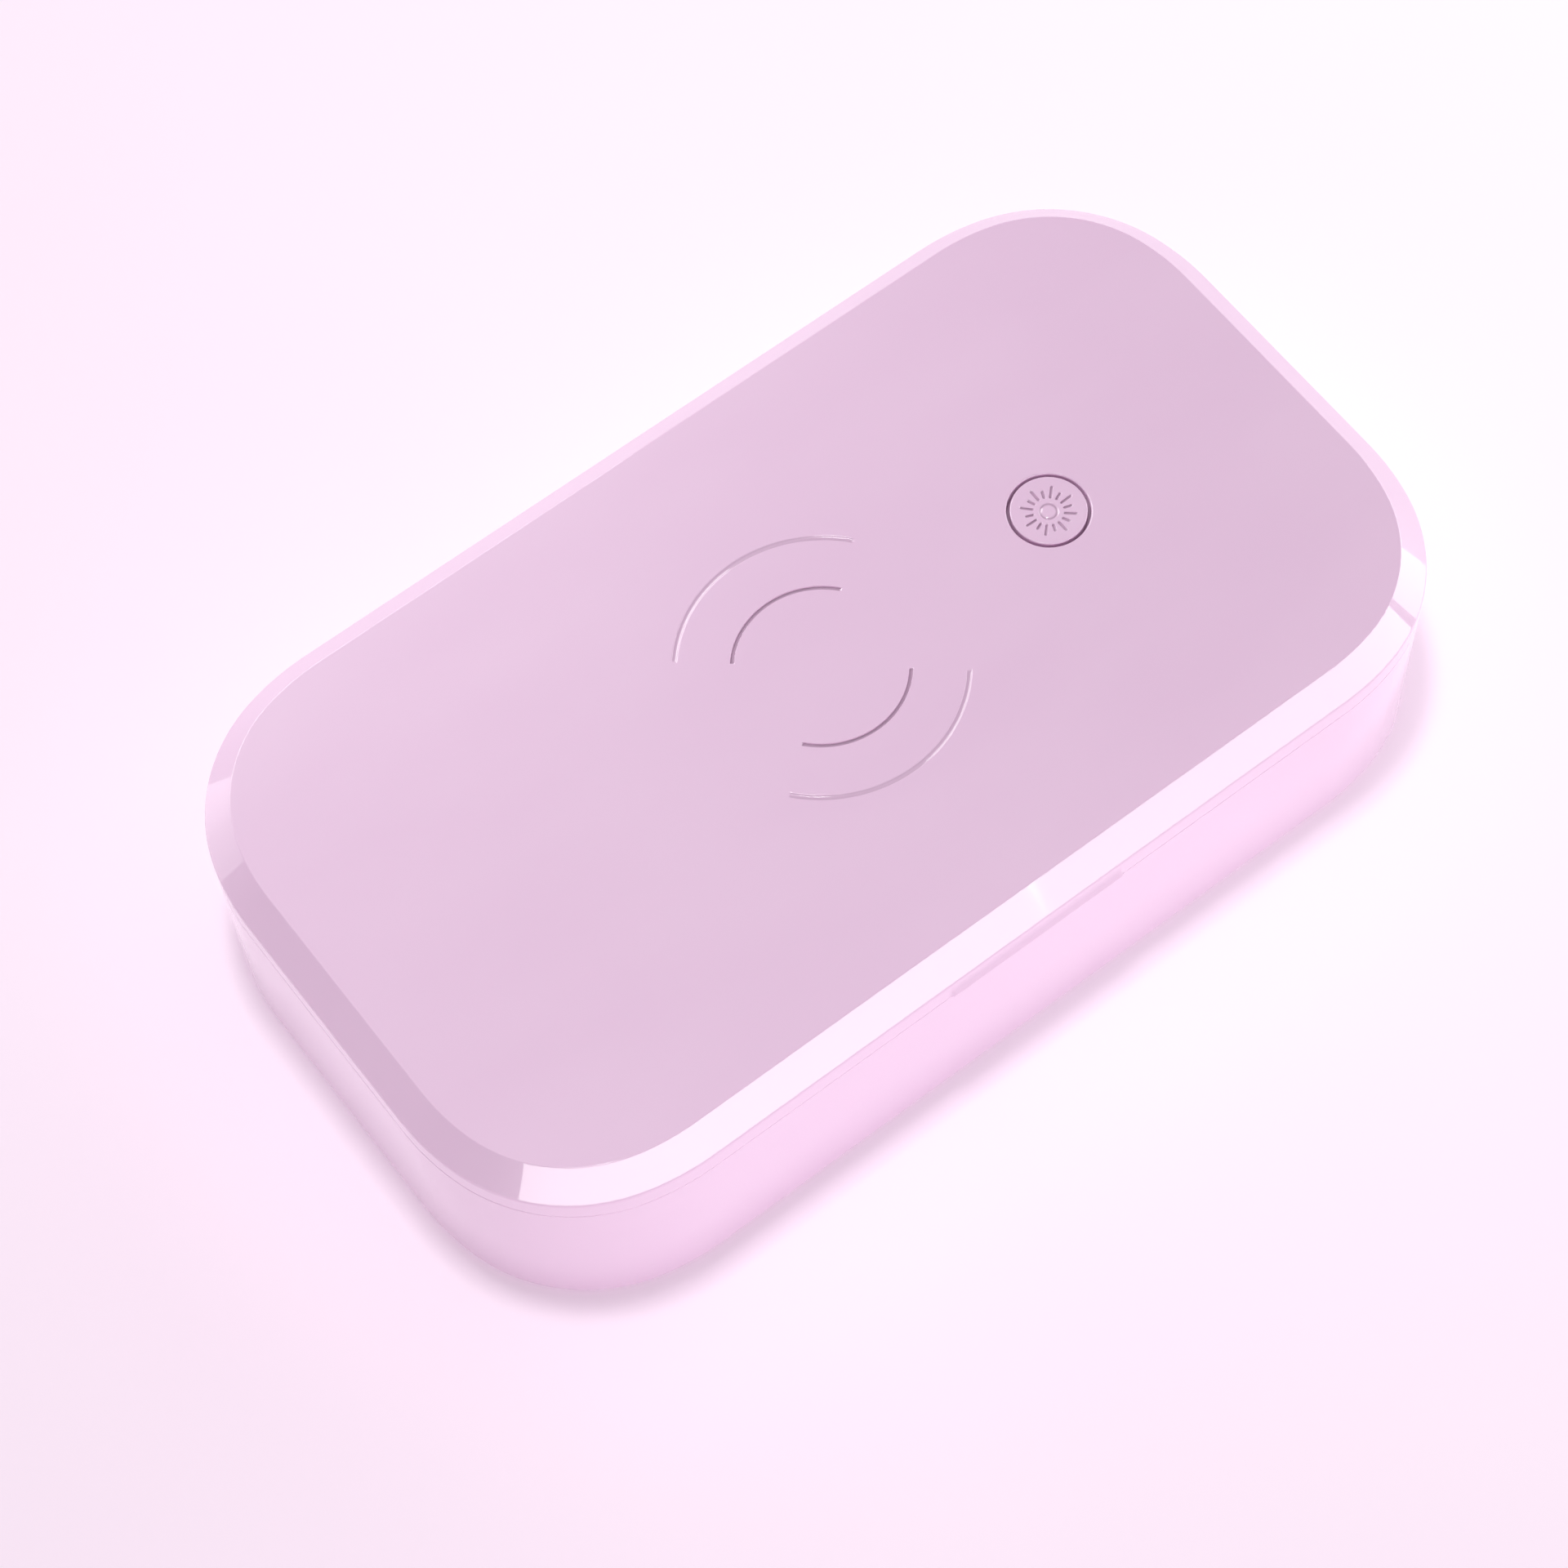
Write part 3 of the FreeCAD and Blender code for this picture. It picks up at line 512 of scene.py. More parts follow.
@dataclass(frozen=True)
class LampPackage:
    """Lamp package: cream ceramic square under a straw-coloured silicone dome."""

    name: str = "lamp_package_ceramic"
    split_mm: float = 40.19

    def build(self) -> bpy.types.Material:
        """Return the package as a material, with the dome told from the square by height.

        Returns:
            The finished material.
        """
        material, tree = new_material(self.name)
        parts = add_node(tree, "ShaderNodeSeparateXYZ", None,
                         {"Vector": object_place(tree)})
        below = math_node(tree, "LESS_THAN", parts.outputs["Z"], self.split_mm * MM)
        grains = noise(tree, 0.3, 3.0)
        square = mottle(tree, grains, "#E9E4D2", "#F4F1E6")
        colour = add_node(tree, "ShaderNodeMix", {"data_type": "RGBA"},
                          {"Factor": below, 6: square, 7: linear("#D9C77B")})
        finish_shader(tree, {
            "Base Color": colour.outputs[2],
            "Roughness": spread(tree, grains, 0.3, 0.5), "IOR": 1.6,
            "Normal": bump(tree, grains, 0.01)})
        return material


@dataclass(frozen=True)
class ClearMoulding:
    """Clear moulded lens: water-clear plastic with faint flow lines."""

    name: str = "clear_acrylic"

    def build(self) -> bpy.types.Material:
        """Return the lens as a material.

        Returns:
            The finished material.
        """
        material, tree = new_material(self.name)
        flow = noise(tree, 1.6, 2.0)
        finish_shader(tree, {
            "Base Color": mottle(tree, flow, "#EDEBFF", "#FBFAFF"),
            "Roughness": spread(tree, flow, 0.03, 0.09), "IOR": 1.49,
            "Transmission Weight": 0.85, "Normal": bump(tree, flow, 0.02, 0.5)})
        return material


@dataclass(frozen=True)
class MattNylon:
    """Matt moulded nylon or epoxy of small components."""

    name: str
    light: str
    dark: str

    def build(self) -> bpy.types.Material:
        """Return the moulding as a material.

        Returns:
            The finished material.
        """
        material, tree = new_material(self.name)
        grain = noise(tree, 0.4, 3.0)
        finish_shader(tree, {
            "Base Color": mottle(tree, grain, self.dark, self.light),
            "Roughness": spread(tree, grain, 0.42, 0.6), "IOR": 1.53,
            "Normal": bump(tree, grain, 0.015)})
        return material


@dataclass(frozen=True)
class StudioPaper:
    """Seamless studio paper: pale, matt, with a barely visible tooth."""

    name: str = "seamless_paper"
    light: str = "#FFF6FE"
    dark: str = "#FEF3FC"

    def build(self) -> bpy.types.Material:
        """Return the paper as a material.

        Returns:
            The finished material.
        """
        material, tree = new_material(self.name)
        tooth = noise(tree, 180.0, 2.0)
        finish_shader(tree, {
            "Base Color": mottle(tree, tooth, self.dark, self.light),
            "Roughness": 0.85, "Specular IOR Level": 0.1})
        return material


FINISHES: dict[Slot, object] = {
    Slot.SHELL: MouldedAbs("satin_moulded_abs", "#E9C9E3", "#E7C6E1"),
    Slot.SHELL_MATT: MouldedAbs("textured_abs", "#E4C4DE", "#DFBFD9", roughness=0.55,
                                grain_mm=0.5, relief_mm=0.02, coat=0.0),
    Slot.BUTTON: MouldedAbs("satin_button_abs", "#E9C9E3", "#E7C6E1"),
    Slot.MIRROR: MirrorCoating(),
    Slot.COIL: WoundCopper(),
    Slot.FERRITE: SinteredFerrite(),
    Slot.CIRCUIT: SolderMask(),
    Slot.LED: LampPackage(),
    Slot.LENS: ClearMoulding(),
    Slot.BLACK: MattNylon("black_nylon", "#2B2B2E", "#1B1B1D"),
    Slot.MAGNET: PlatedMetal("nickel_plating", "#D6D4CC", "#B9B7AF", 0.18),
    Slot.SCREW: PlatedMetal("zinc_plated_steel", "#C9CACC", "#A5A7AB", 0.3),
    Slot.SOCKET: PlatedMetal("drawn_stainless", "#D3D4D6", "#B3B5B8", 0.25),
    Slot.BATTERY: PlatedMetal("laminated_foil", "#CBCDD2", "#AEB1B7", 0.34, 0.8,
                              (1.0, 1.0, 1.0)),
    Slot.FOAM: MattNylon("closed_cell_foam", "#3A3A3D", "#29292C"),
    Slot.SEAL: Silicone("seal_silicone", "#E6DDE6", "#D6CBD6"),
    Slot.FOOT: Silicone("foot_silicone", "#DCC6DA", "#CDB6CB"),
    Slot.PIN: PlatedMetal("ground_steel", "#CFD0D2", "#AAACB0", 0.22),
}


class FinishLibrary:
    """Builds each finish once and hands it out by slot."""

    def __init__(self, engravings: dict[Slot, Engraving]) -> None:
        """Start with nothing built.

        Args:
            engravings: where the moulded faces are engraved and their groove floors take painted
                shade.
        """
        self._engravings = engravings
        self._built: dict[Slot, bpy.types.Material] = {}

    def get(self, slot: Slot) -> bpy.types.Material:
        """Return the slot's material.

        Args:
            slot: which finish is wanted.

        Returns:
            The slot's material, always the same one.
        """
        if slot not in self._built:
            finish = FINISHES[slot]
            if slot in self._engravings:
                finish = replace(finish, engraving=self._engravings[slot])
            self._built[slot] = finish.build()
        return self._built[slot]


# ---- mesh helpers --------------------------------------------------------------------------
def grid_quads(rows: int, columns: int, wrap_rows: bool = False, wrap_columns: bool = True,
               start: int = 0) -> np.ndarray:
    """Index the quads of a grid of points stored row by row.

    Args:
        rows: number of rows.
        columns: number of columns.
        wrap_rows: join the last row to the first.
        wrap_columns: join the last column to the first.
        start: index of the grid's first point.

    Returns:
        An array of four indices for each quad.
    """
    row = np.arange(rows if wrap_rows else rows - 1)[:, None]
    column = np.arange(columns if wrap_columns else columns - 1)[None, :]
    next_row = (row + 1) % rows
    next_column = (column + 1) % columns
    corners = [row * columns + column, row * columns + next_column,
               next_row * columns + next_column, next_row * columns + column]
    return start + np.stack([c.ravel() for c in np.broadcast_arrays(*corners)], axis=1)


class MeshParts:
    """Collects point grids and turns them into one closed mesh."""

    def __init__(self) -> None:
        """Start with no points."""
        self._points: list[np.ndarray] = []
        self._quads: list[np.ndarray] = []
        self._count = 0

    def add(self, grid: np.ndarray, wrap_rows: bool = False, wrap_columns: bool = True) -> None:
        """Add a grid of points.

        Args:
            grid: rows by columns by three coordinates, in millimetres.
            wrap_rows: join the last row to the first.
            wrap_columns: join the last column to the first.
        """
        rows, columns, _ = grid.shape
        self._points.append(grid.reshape(-1, 3))
        self._quads.append(grid_quads(rows, columns, wrap_rows, wrap_columns, self._count))
        self._count += rows * columns

    def build(self, name: str, sharp_deg: float = 40.0) -> bpy.types.Object:
        """Make the object: doubles merged, flat faces dropped, normals outward, smooth.

        Args:
            name: the piece's name.
            sharp_deg: edges that turn more than this stay sharp.

        Returns:
            The new object, linked to the scene.
        """
        mesh = bpy.data.meshes.new(name)
        points = np.concatenate(self._points) * MM
        mesh.from_pydata(points.tolist(), [], np.concatenate(self._quads).tolist())
        work = bmesh.new()
        work.from_mesh(mesh)
        bmesh.ops.remove_doubles(work, verts=work.verts, dist=MERGE_DISTANCE)
        bmesh.ops.dissolve_degenerate(work, edges=work.edges, dist=MERGE_DISTANCE)
        bmesh.ops.recalc_face_normals(work, faces=work.faces)
        work.to_mesh(mesh)
        work.free()
        shade(mesh, sharp_deg)
        piece = bpy.data.objects.new(name, mesh)
        bpy.context.scene.collection.objects.link(piece)
        return piece


def shade(mesh: bpy.types.Mesh, sharp_deg: float) -> None:
    """Shade a mesh smooth, apart from edges that turn more than sharp_deg.

    Args:
        mesh: the mesh to shade.
        sharp_deg: edges that turn by more than this stay sharp.
    """
    mesh.polygons.foreach_set("use_smooth", np.ones(len(mesh.polygons), bool))
    mesh.set_sharp_from_angle(angle=math.radians(sharp_deg))
    mesh.update()


def settle(piece: bpy.types.Object, body: Body, slot: Slot, finishes: FinishLibrary,
           nodes: Sequence[str] = ()) -> bpy.types.Object:
    """Dress a piece and tie it to its body.

    Args:
        piece: the finished object.
        body: what it rides on.
        slot: the record's slot that it takes its finish from.
        finishes: the finishes.
        nodes: CAD nodes that it stands for.

    Returns:
        The same piece.
    """
    piece.data.materials.clear()
    piece.data.materials.append(finishes.get(slot))
    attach(piece, body.value)
    if nodes:
        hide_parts(*nodes)
    LOG.info("%s: %d faces on %s", piece.name, len(piece.data.polygons), body.value)
    return piece


def rounded_profile(corners: Sequence[tuple[float, float, float]], closed: bool = False,
                    steps: int = 5, support: float = 0.12) -> np.ndarray:
    """Polyline whose corners are arcs.

    Each corner gives its place and radius. The arc touches both sides at radius times the
    tangent of half the turn, and a support point just beyond it keeps the sides flat.

    Args:
        corners: first coordinate, second coordinate and radius of each corner.
        closed: join the last corner to the first.
        steps: spans in each arc.
        support: distance of the support points from the arc's ends.

    Returns:
        The points, two coordinates each.
    """
    places = np.array([corner[:2] for corner in corners], float)
    count = len(corners)
    result: list[np.ndarray] = []
    for index, (x, y, radius) in enumerate(corners):
        here = places[index]
        if radius <= 0 or (not closed and index in (0, count - 1)):
            result.append(here[None, :])
            continue
        back = places[index - 1] - here
        ahead = places[(index + 1) % count] - here
        back_room, ahead_room = np.linalg.norm(back), np.linalg.norm(ahead)
        back, ahead = back / back_room, ahead / ahead_room
        half = math.acos(float(np.clip(back @ ahead, -1, 1))) / 2
        tangent = min(radius / math.tan(half), 0.45 * back_room, 0.45 * ahead_room)
        true_radius = tangent * math.tan(half)
        middle = (back + ahead) / np.linalg.norm(back + ahead)
        centre = here + middle * true_radius / math.sin(half)
        sweep = np.linspace(-1, 1, steps + 1)[:, None] * (math.pi / 2 - half)
        across = (ahead - back) / np.linalg.norm(ahead - back)
        arc = centre + true_radius * (np.sin(sweep) * across - np.cos(sweep) * middle)
        before = here + back * min(tangent + support, 0.49 * back_room)
        after = here + ahead * min(tangent + support, 0.49 * ahead_room)
        result += [before[None, :], arc, after[None, :]]
    return np.concatenate(result)


def lathe(profile: np.ndarray, centre: tuple[float, float], columns: int) -> np.ndarray:
    """Surface of a (radius, height) profile turned about an upright axis.

    Args:
        profile: radius and height of each row.
        centre: the axis's place.
        columns: points round the axis.

    Returns:
        The grid of points.
    """
    angle = np.linspace(0, 2 * math.pi, columns, endpoint=False)
    x = centre[0] + profile[:, 0, None] * np.cos(angle)
    y = centre[1] + profile[:, 0, None] * np.sin(angle)
    z = np.broadcast_to(profile[:, 1, None], x.shape)
    return np.stack([x, y, z], axis=-1)


def smooth_step(value: np.ndarray, low: float, high: float) -> np.ndarray:
    """Ease from 0 at low to 1 at high, with level ends.

    Args:
        value: what to ease, of any shape.
        low: where the result leaves 0.
        high: where the result reaches 1.

    Returns:
        The eased values, from 0 to 1.
    """
    t = np.clip((value - low) / (high - low), 0, 1)
    return t * t * (3 - 2 * t)


# ---- the body's outline ----------------------------------------------------------------------
@dataclass
class BodyOutline:
    """Plan outline: straight sides joined by corners of a flat, a tight and a flat arc.

    All insets share the arcs' centres, so a point at any inset is the outermost point less
    the inset times the outward normal.
    """

    length: float = 215.0
    width: float = 121.5
    flat_radius: float = 48.9
    tight_radius: float = 33.3
    blend_deg: float = 15.0
    middle_y: float = 0.0
    plate_inset: float = 5.8
    split_x: float = 34.0
    lip_half: float = 19.0
    lip_end: float = 0.5
    button_x: float = 51.3
    mark_ends_deg: tuple[float, float] = (40.0, 140.0)
    base: np.ndarray = field(init=False)
    normal: np.ndarray = field(init=False)

    def __post_init__(self) -> None:
        """Choose the columns and work out their points and normals."""
        angles, runs = self._trace()
        columns = self._columns(angles, runs)
        self.base, self.normal = self._at(columns, angles, runs)

    def _trace(self) -> tuple[np.ndarray, np.ndarray]:
        """Fine samples of the whole outline.

        Returns:
            The outermost points and the normals, thousands of each, anticlockwise from
            the middle of the right side.
        """
        blend = math.radians(self.blend_deg)
        sine, cosine = math.sin(blend), math.cos(blend)
        step = self.flat_radius - self.tight_radius
        reach = self.flat_radius * (1 + sine - cosine) + self.tight_radius * (cosine - sine)
        first = np.array([self.length / 2 - self.flat_radius, self.width / 2 - reach])
        middle = first + step * np.array([cosine, sine])
        last = np.array([self.length / 2 - reach, self.width / 2 - self.flat_radius])
        turn = np.linspace(0, math.pi / 2, 1801)
        unit = np.stack([np.cos(turn), np.sin(turn)], axis=1)
        early, late = turn <= blend, turn >= math.pi / 2 - blend
        radius = np.where(early | late, self.flat_radius, self.tight_radius)
        centre = np.where(early[:, None], first, np.where(late[:, None], last, middle))
        corner = centre + radius[:, None] * unit
        points, normals = [], []
        for sign_x, sign_y in ((1, 1), (-1, 1), (-1, -1), (1, -1)):
            order = slice(None) if sign_x == sign_y else slice(None, None, -1)
            signs = np.array([sign_x, sign_y])
            points.append((corner * signs)[order])
            normals.append((unit * signs)[order])
        rough, facing = np.concatenate(points), np.concatenate(normals)
        run = self._run(rough)
        places = np.union1d(run[:-1], np.arange(0, run[-1], 0.05))
        return self._at(places, rough, facing)

    def _columns(self, points: np.ndarray, normals: np.ndarray) -> np.ndarray:
        """Choose where the columns stand, as distances along the fine outline.

        Columns follow even directions about the middle, even directions about the button,
        and the places where the lip and the marks end.

        Args:
            points: the fine outline.
            normals: its normals.

        Returns:
            Sorted distances along the outline.
        """
        run = self._run(points)
        closed = np.vstack([points, points[:1]]) - self.plate_inset * np.vstack(
            [normals, normals[:1]])
        marks = np.array([sign * end + shift for sign in (1, -1) for end in self.mark_ends_deg
                          for shift in (-0.6, 0.6)]) % 360
        ends = [sign * (self.lip_half - inner) for sign in (-1, 1)
                for inner in (0.0, self.lip_end / 2, self.lip_end)]
        depth = self.width / 2 - self.plate_inset
        fixed = np.array([math.degrees(math.atan2(side * depth, x)) % 360 for side in (-1, 1)
                          for x in (*ends, self.split_x)])
        wanted = self._hits(closed, run, (0.0, 0.0), np.concatenate([fixed, marks]))
        even = np.concatenate([
            self._hits(closed, run, (0.0, 0.0), np.arange(0, 360, 1.0)),
            self._hits(closed, run, (self.button_x, 0.0), np.arange(0, 360, 5.0))])
        apart = np.abs(even[:, None] - wanted[None]).min(axis=1) > 0.12
        places = np.sort(even[apart])
        places = places[np.concatenate([[True], np.diff(places) > 0.12])]
        return np.sort(np.concatenate([wanted, places]))

    @staticmethod
    def _run(points: np.ndarray) -> np.ndarray:
        """Distance along a closed polyline at each of its points and back at the start.

        Args:
            points: the polyline's points.

        Returns:
            One more distance than there are points.
        """
        steps = np.linalg.norm(np.diff(np.vstack([points, points[:1]]), axis=0), axis=1)
        return np.concatenate([[0.0], np.cumsum(steps)])

    @staticmethod
    def _hits(closed: np.ndarray, run: np.ndarray, centre: tuple[float, float],
              directions_deg: np.ndarray) -> np.ndarray:
        """Distances along the outline where rays from a point cross it.

        Args:
            closed: the outline's points, the first repeated at the end.
            run: distance along the outline at each point.
            centre: where the rays start.
            directions_deg: the rays' directions, from 0 to 360.

        Returns:
            One distance for each ray.
        """
        angle = np.unwrap(np.arctan2(closed[:, 1] - centre[1], closed[:, 0] - centre[0]))
        wanted = np.radians(directions_deg)
        wanted = angle[0] + (wanted - angle[0]) % (2 * math.pi)
        return np.interp(wanted, angle, run)

    def _at(self, places: np.ndarray, points: np.ndarray,
            normals: np.ndarray) -> tuple[np.ndarray, np.ndarray]:
        """Points and normals at distances along the outline.

        Args:
            places: distances along the outline.
            points: the polyline's points.
            normals: the normal at each of those points.

        Returns:
            The points and the unit normals.
        """
        run = self._run(points)
        result = []
        for values in (points, normals):
            closed = np.vstack([values, values[:1]])
            result.append(np.stack([np.interp(places, run, closed[:, k]) for k in (0, 1)], axis=1))
        unit = result[1] / np.linalg.norm(result[1], axis=1, keepdims=True)
        return result[0], unit

    def ring(self, inset: float) -> np.ndarray:
        """The outline's columns at one inset, two coordinates each.

        Args:
            inset: how far inside the outermost line.

        Returns:
            The points, two coordinates each.
        """
        return self.base - inset * self.normal + np.array([0.0, self.middle_y])

    def carry(self, profile: np.ndarray) -> np.ndarray:
        """Carry a profile round the outline.

        Args:
            profile: inset and height of each row.

        Returns:
            Rows by columns by three coordinates.
        """
        plan = self.base[None] - profile[:, 0, None, None] * self.normal[None]
        plan = plan + np.array([0.0, self.middle_y])
        height = np.broadcast_to(profile[:, 1, None, None], (*plan.shape[:2], 1))
        return np.concatenate([plan, height], axis=2)

    def fill(self, inset: float, height: float, rows: int = 4) -> np.ndarray:
        """Flat floor from the outline at one inset to its middle.

        Each row is the outline shrunk evenly towards the middle point.

        Args:
            inset: how far inside the outermost line.
            height: the floor's level.
            rows: rows from the outline to the middle.

        Returns:
            Rows by columns by three coordinates.
        """
        ring = self.ring(inset)
        share = np.linspace(1, 0, rows)[:, None, None]
        middle = np.array([0.0, self.middle_y])
        plan = middle + share * (ring[None] - middle)
        return np.concatenate([plan, np.full((*plan.shape[:2], 1), height)], axis=2)


# ---- lid ---------------------------------------------------------------------------------------
@dataclass
class LidShell:
    """Pink lid: bevelled shell with the charging mark, the button's hole and the thumb lip."""

    outline: BodyOutline
    top: float
    bottom: float
    bevel_drop: float = 4.7
    bevel_run: float = 5.1
    rim_drop: float = 0.5
    rim_run: float = 0.15
    wall: float = 2.4
    skin: float = 2.0
    ceiling_inset: float = 6.5
    hole_radius: float = 7.6
    hole_round: float = 0.35
    mark_radii: tuple[float, float] = (15.8, 26.0)
    mark_widths: tuple[float, float] = (0.8, 1.0)
    mark_depths: tuple[float, float] = (0.3, 0.14)
    mark_edge: float = 0.14
    mark_span_deg: float = 100.0
    lip_proud: float = 0.6
    lip_edge: float = 0.25
    lip_gap: float = 0.5
    lip_height: float = 1.6

    def _profile(self) -> np.ndarray:
        """Section of the shell from the plateau's edge, down outside and up inside.

        Returns:
            Inset and height of each row.
        """
        rim_top = self.top - self.bevel_drop
        rim_bottom = rim_top - self.rim_drop
        return rounded_profile([
            (self.outline.plate_inset, self.top, 0),
            (self.bevel_run, self.top, 0.3),
            (self.rim_run, rim_top, 0.3),
            (0.0, rim_bottom, 0.6),
            (0.0, self.bottom + self.lip_height, 0),
            (0.0, self.bottom + self.lip_edge + 0.12, 0),
            (0.0, self.bottom, 0.2),
            (self.wall, self.bottom, 0.2),
            (self.wall, rim_top, 0.6),
            (self.ceiling_inset, self.top - self.skin, 0)])

    def _press_lip(self, grid: np.ndarray) -> None:
        """Push the thumb lip out of the front wall, in place.

        The push is full along the lip's edge, falls evenly to nothing at the lip's top and
        eases to nothing at its ends and under the wall.

        Args:
            grid: the wall's points.
        """
        outline = self.outline
        x, y, z = grid[..., 0], grid[..., 1], grid[..., 2]
        depth = y - outline.middle_y + outline.width / 2
        along = 1 - smooth_step(np.abs(x), outline.lip_half - outline.lip_end, outline.lip_half)
        rise = (z - self.bottom - self.lip_edge) / (self.lip_height - self.lip_edge)
        up = 1 - np.clip(rise, 0, 1)
        inward = 1 - np.clip((depth - 0.2) / 1.5, 0, 1)
        outside = (depth < 2.0) & (z < self.bottom + self.lip_height + 0.01)
        lift = self.lip_gap * along * np.clip(1 - (z - self.bottom) / self.lip_height, 0, 1)
        grid[..., 2] = np.where(depth < self.wall + 0.3, z + lift, z)
        grid[..., 1] = np.where(outside, y - self.lip_proud * along * up * inward, y)

    def _mark(self, plan: np.ndarray) -> np.ndarray:
        """Depth of the engraved arcs at each point.

        Two pairs of concentric arcs face front and back. A groove is full within half its
        width of an arc's radius and eases out over its edge.

        Args:
            plan: points about the middle of the plateau.

        Returns:
            Depth below the plateau, in millimetres.
        """
        radius = np.hypot(plan[..., 0], plan[..., 1])
        turn = np.degrees(np.arctan2(np.abs(plan[..., 1]), plan[..., 0]))
        inside = 1 - smooth_step(np.abs(turn - 90), self.mark_span_deg / 2 - 0.5,
                                 self.mark_span_deg / 2 + 0.5)
        depth = np.zeros(radius.shape)
        for mark, width, deep in zip(self.mark_radii, self.mark_widths, self.mark_depths):
            half = width / 2
            near = 1 - smooth_step(np.abs(radius - mark), half - self.mark_edge, half)
            depth = np.maximum(depth, near * inside * deep)
        return depth

    def _groove_radii(self) -> np.ndarray:
        """Rows of the plateau's middle, close together at each groove's edges.

        Returns:
            The radii, from the middle outwards.
        """
        bands = []
        for mark, width in zip(self.mark_radii, self.mark_widths):
            half = width / 2
            edges = np.array([half + 0.15, half, half - self.mark_edge / 2, half - self.mark_edge])
            bands.append(mark + np.concatenate([-edges, [0.0], edges[::-1]]))
        return np.array([0.0, 4.0, 9.0, 13.0, *bands[0], 18.5, 21.5, 24.0, *bands[1], 28.0])

    def _halves(self, inset: float) -> tuple[np.ndarray, np.ndarray]:
        """Edges of a plate's left and right halves, which meet on the split line.

        Args:
            inset: the plate's edge.

        Returns:
            The two closed edges, anticlockwise, two coordinates a point.
        """
        outline = self.outline
        ring = outline.ring(inset)
        on_line = np.abs(ring[:, 0] - outline.split_x) <= 0.02
        front = int(np.flatnonzero(on_line & (ring[:, 1] < 0))[0])
        back = int(np.flatnonzero(on_line & (ring[:, 1] > 0))[0])
        right = np.concatenate([ring[front + 1:], ring[:back]])
        directions = np.concatenate([np.arange(-57.0, 57.1, 1.5), [-40.6, -39.4, 39.4, 40.6]])
        y = np.sort(np.tan(np.radians(directions))) * outline.split_x + outline.middle_y
        line = np.column_stack([np.full(len(y), outline.split_x), y])
        left_edge = np.vstack([ring[back:front + 1], line])
        right_edge = np.vstack([ring[front][None], right, ring[back][None], line[::-1]])
        return left_edge, right_edge

    @staticmethod
    def _fan(centre: np.ndarray, towards: np.ndarray, rows: np.ndarray,
             edge: np.ndarray) -> np.ndarray:
        """Polar grid of circles about a centre that ends on an edge.

        Args:
            centre: the circles' middle.
            towards: points that give the columns' directions.
            rows: radius and height of each circle; the last height is the plate's level.
            edge: the grid's last row.

        Returns:
            Rows by columns by three coordinates.
        """
        away = towards - centre
        unit = away / np.linalg.norm(away, axis=1, keepdims=True)
        circles = centre + rows[:, 0, None, None] * unit[None]
        share = np.array([0.25, 0.6, 0.9, 1.0])[:, None, None]
        rest = circles[-1] + share * (edge - circles[-1])[None]
        height = np.concatenate([rows[:, 1], np.full(len(share), rows[-1, 1])])
        plan = np.concatenate([circles, rest])
        level = np.broadcast_to(height[:, None, None], (*plan.shape[:2], 1))
        return np.concatenate([plan, level], axis=2)

    def _plates(self, parts: MeshParts) -> None:
        """Add the plateau and the ceiling, each in two halves, with the button's hole.

        The left half is centred on the charging mark and the right half on the button.

        Args:
            parts: the mesh that takes the new grids.
        """
        outline = self.outline
        middle = np.array([0.0, outline.middle_y])
        button = np.array([outline.button_x, outline.middle_y])
        ceiling = self.top - self.skin
        top_left, top_right = self._halves(outline.plate_inset)
        under_left, under_right = self._halves(self.ceiling_inset)

        radii = self._groove_radii()
        rows = np.column_stack([radii, np.full(len(radii), self.top)])
        plateau = self._fan(middle, top_left, rows, top_left)
        plateau[..., 2] -= self._mark(plateau[..., :2] - middle)
        parts.add(plateau)
        hole = rounded_profile([(self.hole_radius, ceiling, 0),
                                (self.hole_radius, self.top, self.hole_round),
                                (self.hole_radius + 2.0, self.top, 0)])
        parts.add(self._fan(button, top_right, hole, top_right))
        parts.add(self._fan(middle, top_left, np.array([[0.0, ceiling], [20.0, ceiling]]),
                            under_left))
        parts.add(self._fan(button, top_right, np.array([[self.hole_radius, ceiling]]),
                            under_right))

    def build(self, finishes: FinishLibrary) -> None:
        """Make the lid's shell and dress it.

        Args:
            finishes: where the materials come from.
        """
        parts = MeshParts()
        wall = self.outline.carry(self._profile())
        self._press_lip(wall)
        parts.add(wall)
        self._plates(parts)
        settle(parts.build("lid_shell", 50.0), Body.LID, Slot.SHELL, finishes, ["lid_cover"])


